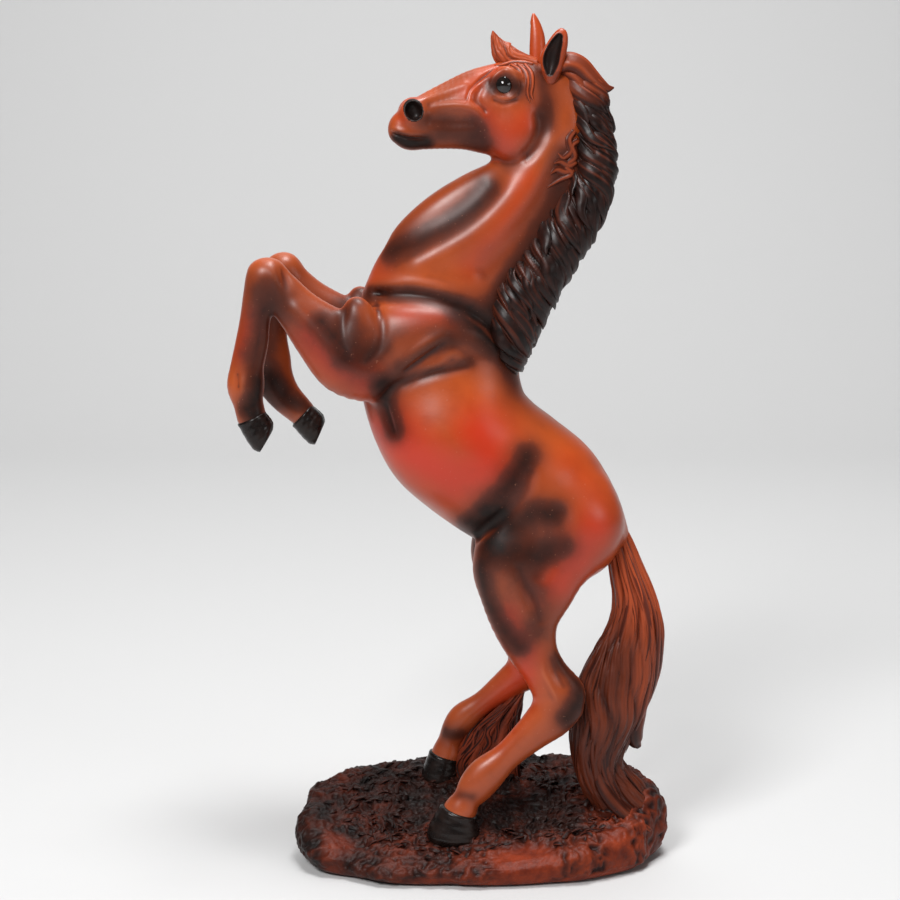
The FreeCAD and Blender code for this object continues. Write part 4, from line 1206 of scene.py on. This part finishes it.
def steel_material():
    n = Nodes("steel")
    brushed = n.noise(900, 6, 0.7)
    n.bump(brushed, 0.05, 0.3)
    return n.finish(n.mix(n.span(brushed, 0.3, 0.7), (0.42, 0.42, 0.43), (0.6, 0.6, 0.6)),
                    n.span(brushed, 0.3, 0.7, 0.25, 0.42), Metallic=1.0)


def felt_material():
    n = Nodes("felt")
    fibre = n.noise(2200, 6, 0.75)
    n.bump(fibre, 0.4, 0.8)
    return n.finish(n.mix(n.span(fibre, 0.3, 0.7), (0.010, 0.012, 0.011), (0.045, 0.05, 0.046)), 0.95,
                    Sheen_Weight=0.4)


MATERIALS = {"coat_paint": coat_material(), "hair_paint": hair_material(), "ground_paint": ground_material(),
             "hoof_paint": hoof_material(), "eye_gloss": eye_material()}
STEEL_NODES = ["left_leg_rod", "right_leg_rod", "tail_rod", "neck_dowel", "tail_dowel", "left_foreleg_dowel",
               "right_foreleg_dowel", "rod_washers", "rod_nuts"]


def build_statue():
    clay = horse_clay()
    build_horse(clay)
    build_mane()
    build_forelock(clay)
    build_tail()
    build_ears()
    build_eyes(clay)
    build_hooves()
    build_ground()
    build_tuft()
    kept = {**dict.fromkeys(STEEL_NODES, steel_material()), "felt_pad": felt_material()}
    for node, material in kept.items():
        bpy.data.objects[node].data.materials.clear()
        bpy.data.objects[node].data.materials.append(material)


# The stage, the lights and the camera are in metres.
def area(name, place, aim, size, power):
    """Square soft light."""
    light = bpy.data.lights.new(name, "AREA")
    light.size = size
    light.energy = power
    obj = add_object(name, light)
    obj.location = place
    obj.rotation_euler = (Vector(aim) - Vector(place)).to_track_quat("-Z", "Y").to_euler()


def build_stage():
    """Pale floor that curves up into a backdrop."""
    bend, back, top = 0.6, 1.6, 2.6
    curve = np.linspace(0.1, math.pi / 2, 14)
    profile = [(-3.0, 0.0), (back - bend, 0.0)]
    profile += [(back - bend + bend * math.sin(t), bend - bend * math.cos(t)) for t in curve]
    profile.append((back, top))
    verts = [(x, y, z) for y, z in profile for x in (-3.5, 3.5)]
    faces = [(2 * n, 2 * n + 1, 2 * n + 3, 2 * n + 2) for n in range(len(profile) - 1)]
    mesh = smooth_mesh("floor", verts, faces)
    floor = add_object("floor", mesh)
    mesh.materials.append(Nodes("floor").finish((0.6, 0.6, 0.6), 0.8))


def light_the_scene():
    world = bpy.data.worlds.new("studio")
    bpy.context.scene.world = world
    world.use_nodes = True
    background = world.node_tree.nodes["Background"]
    background.inputs["Color"].default_value = (1, 1, 1, 1)
    background.inputs["Strength"].default_value = 0.11
    bpy.context.scene.view_settings.view_transform = "Standard"
    area("key", (-0.6, -1.1, 1.2), (0, 0, 0.22), 0.5, 21)
    area("fill", (1.3, -0.9, 0.6), (0, 0, 0.2), 0.5, 2.5)
    area("wash", (0, 0.7, 1.9), (0, 1.7, 0.9), 1.2, 15)
    area("top", (0.15, -0.15, 1.6), (0, 0, 0.2), 0.5, 19)


def place_camera():
    """Camera a metre away, looking down by its elevation."""
    camera = bpy.data.cameras.new("camera")
    camera.lens = 85.1
    camera.sensor_width = 36
    elevation = math.radians(11)
    target = np.array([-0.0128, 0, 0.1986])
    obj = add_object("camera", camera)
    obj.location = target + [0, -math.cos(elevation), math.sin(elevation)]
    obj.rotation_euler = (math.radians(90) - elevation, 0, 0)
    bpy.context.scene.camera = obj


build_statue()
build_stage()
light_the_scene()
place_camera()
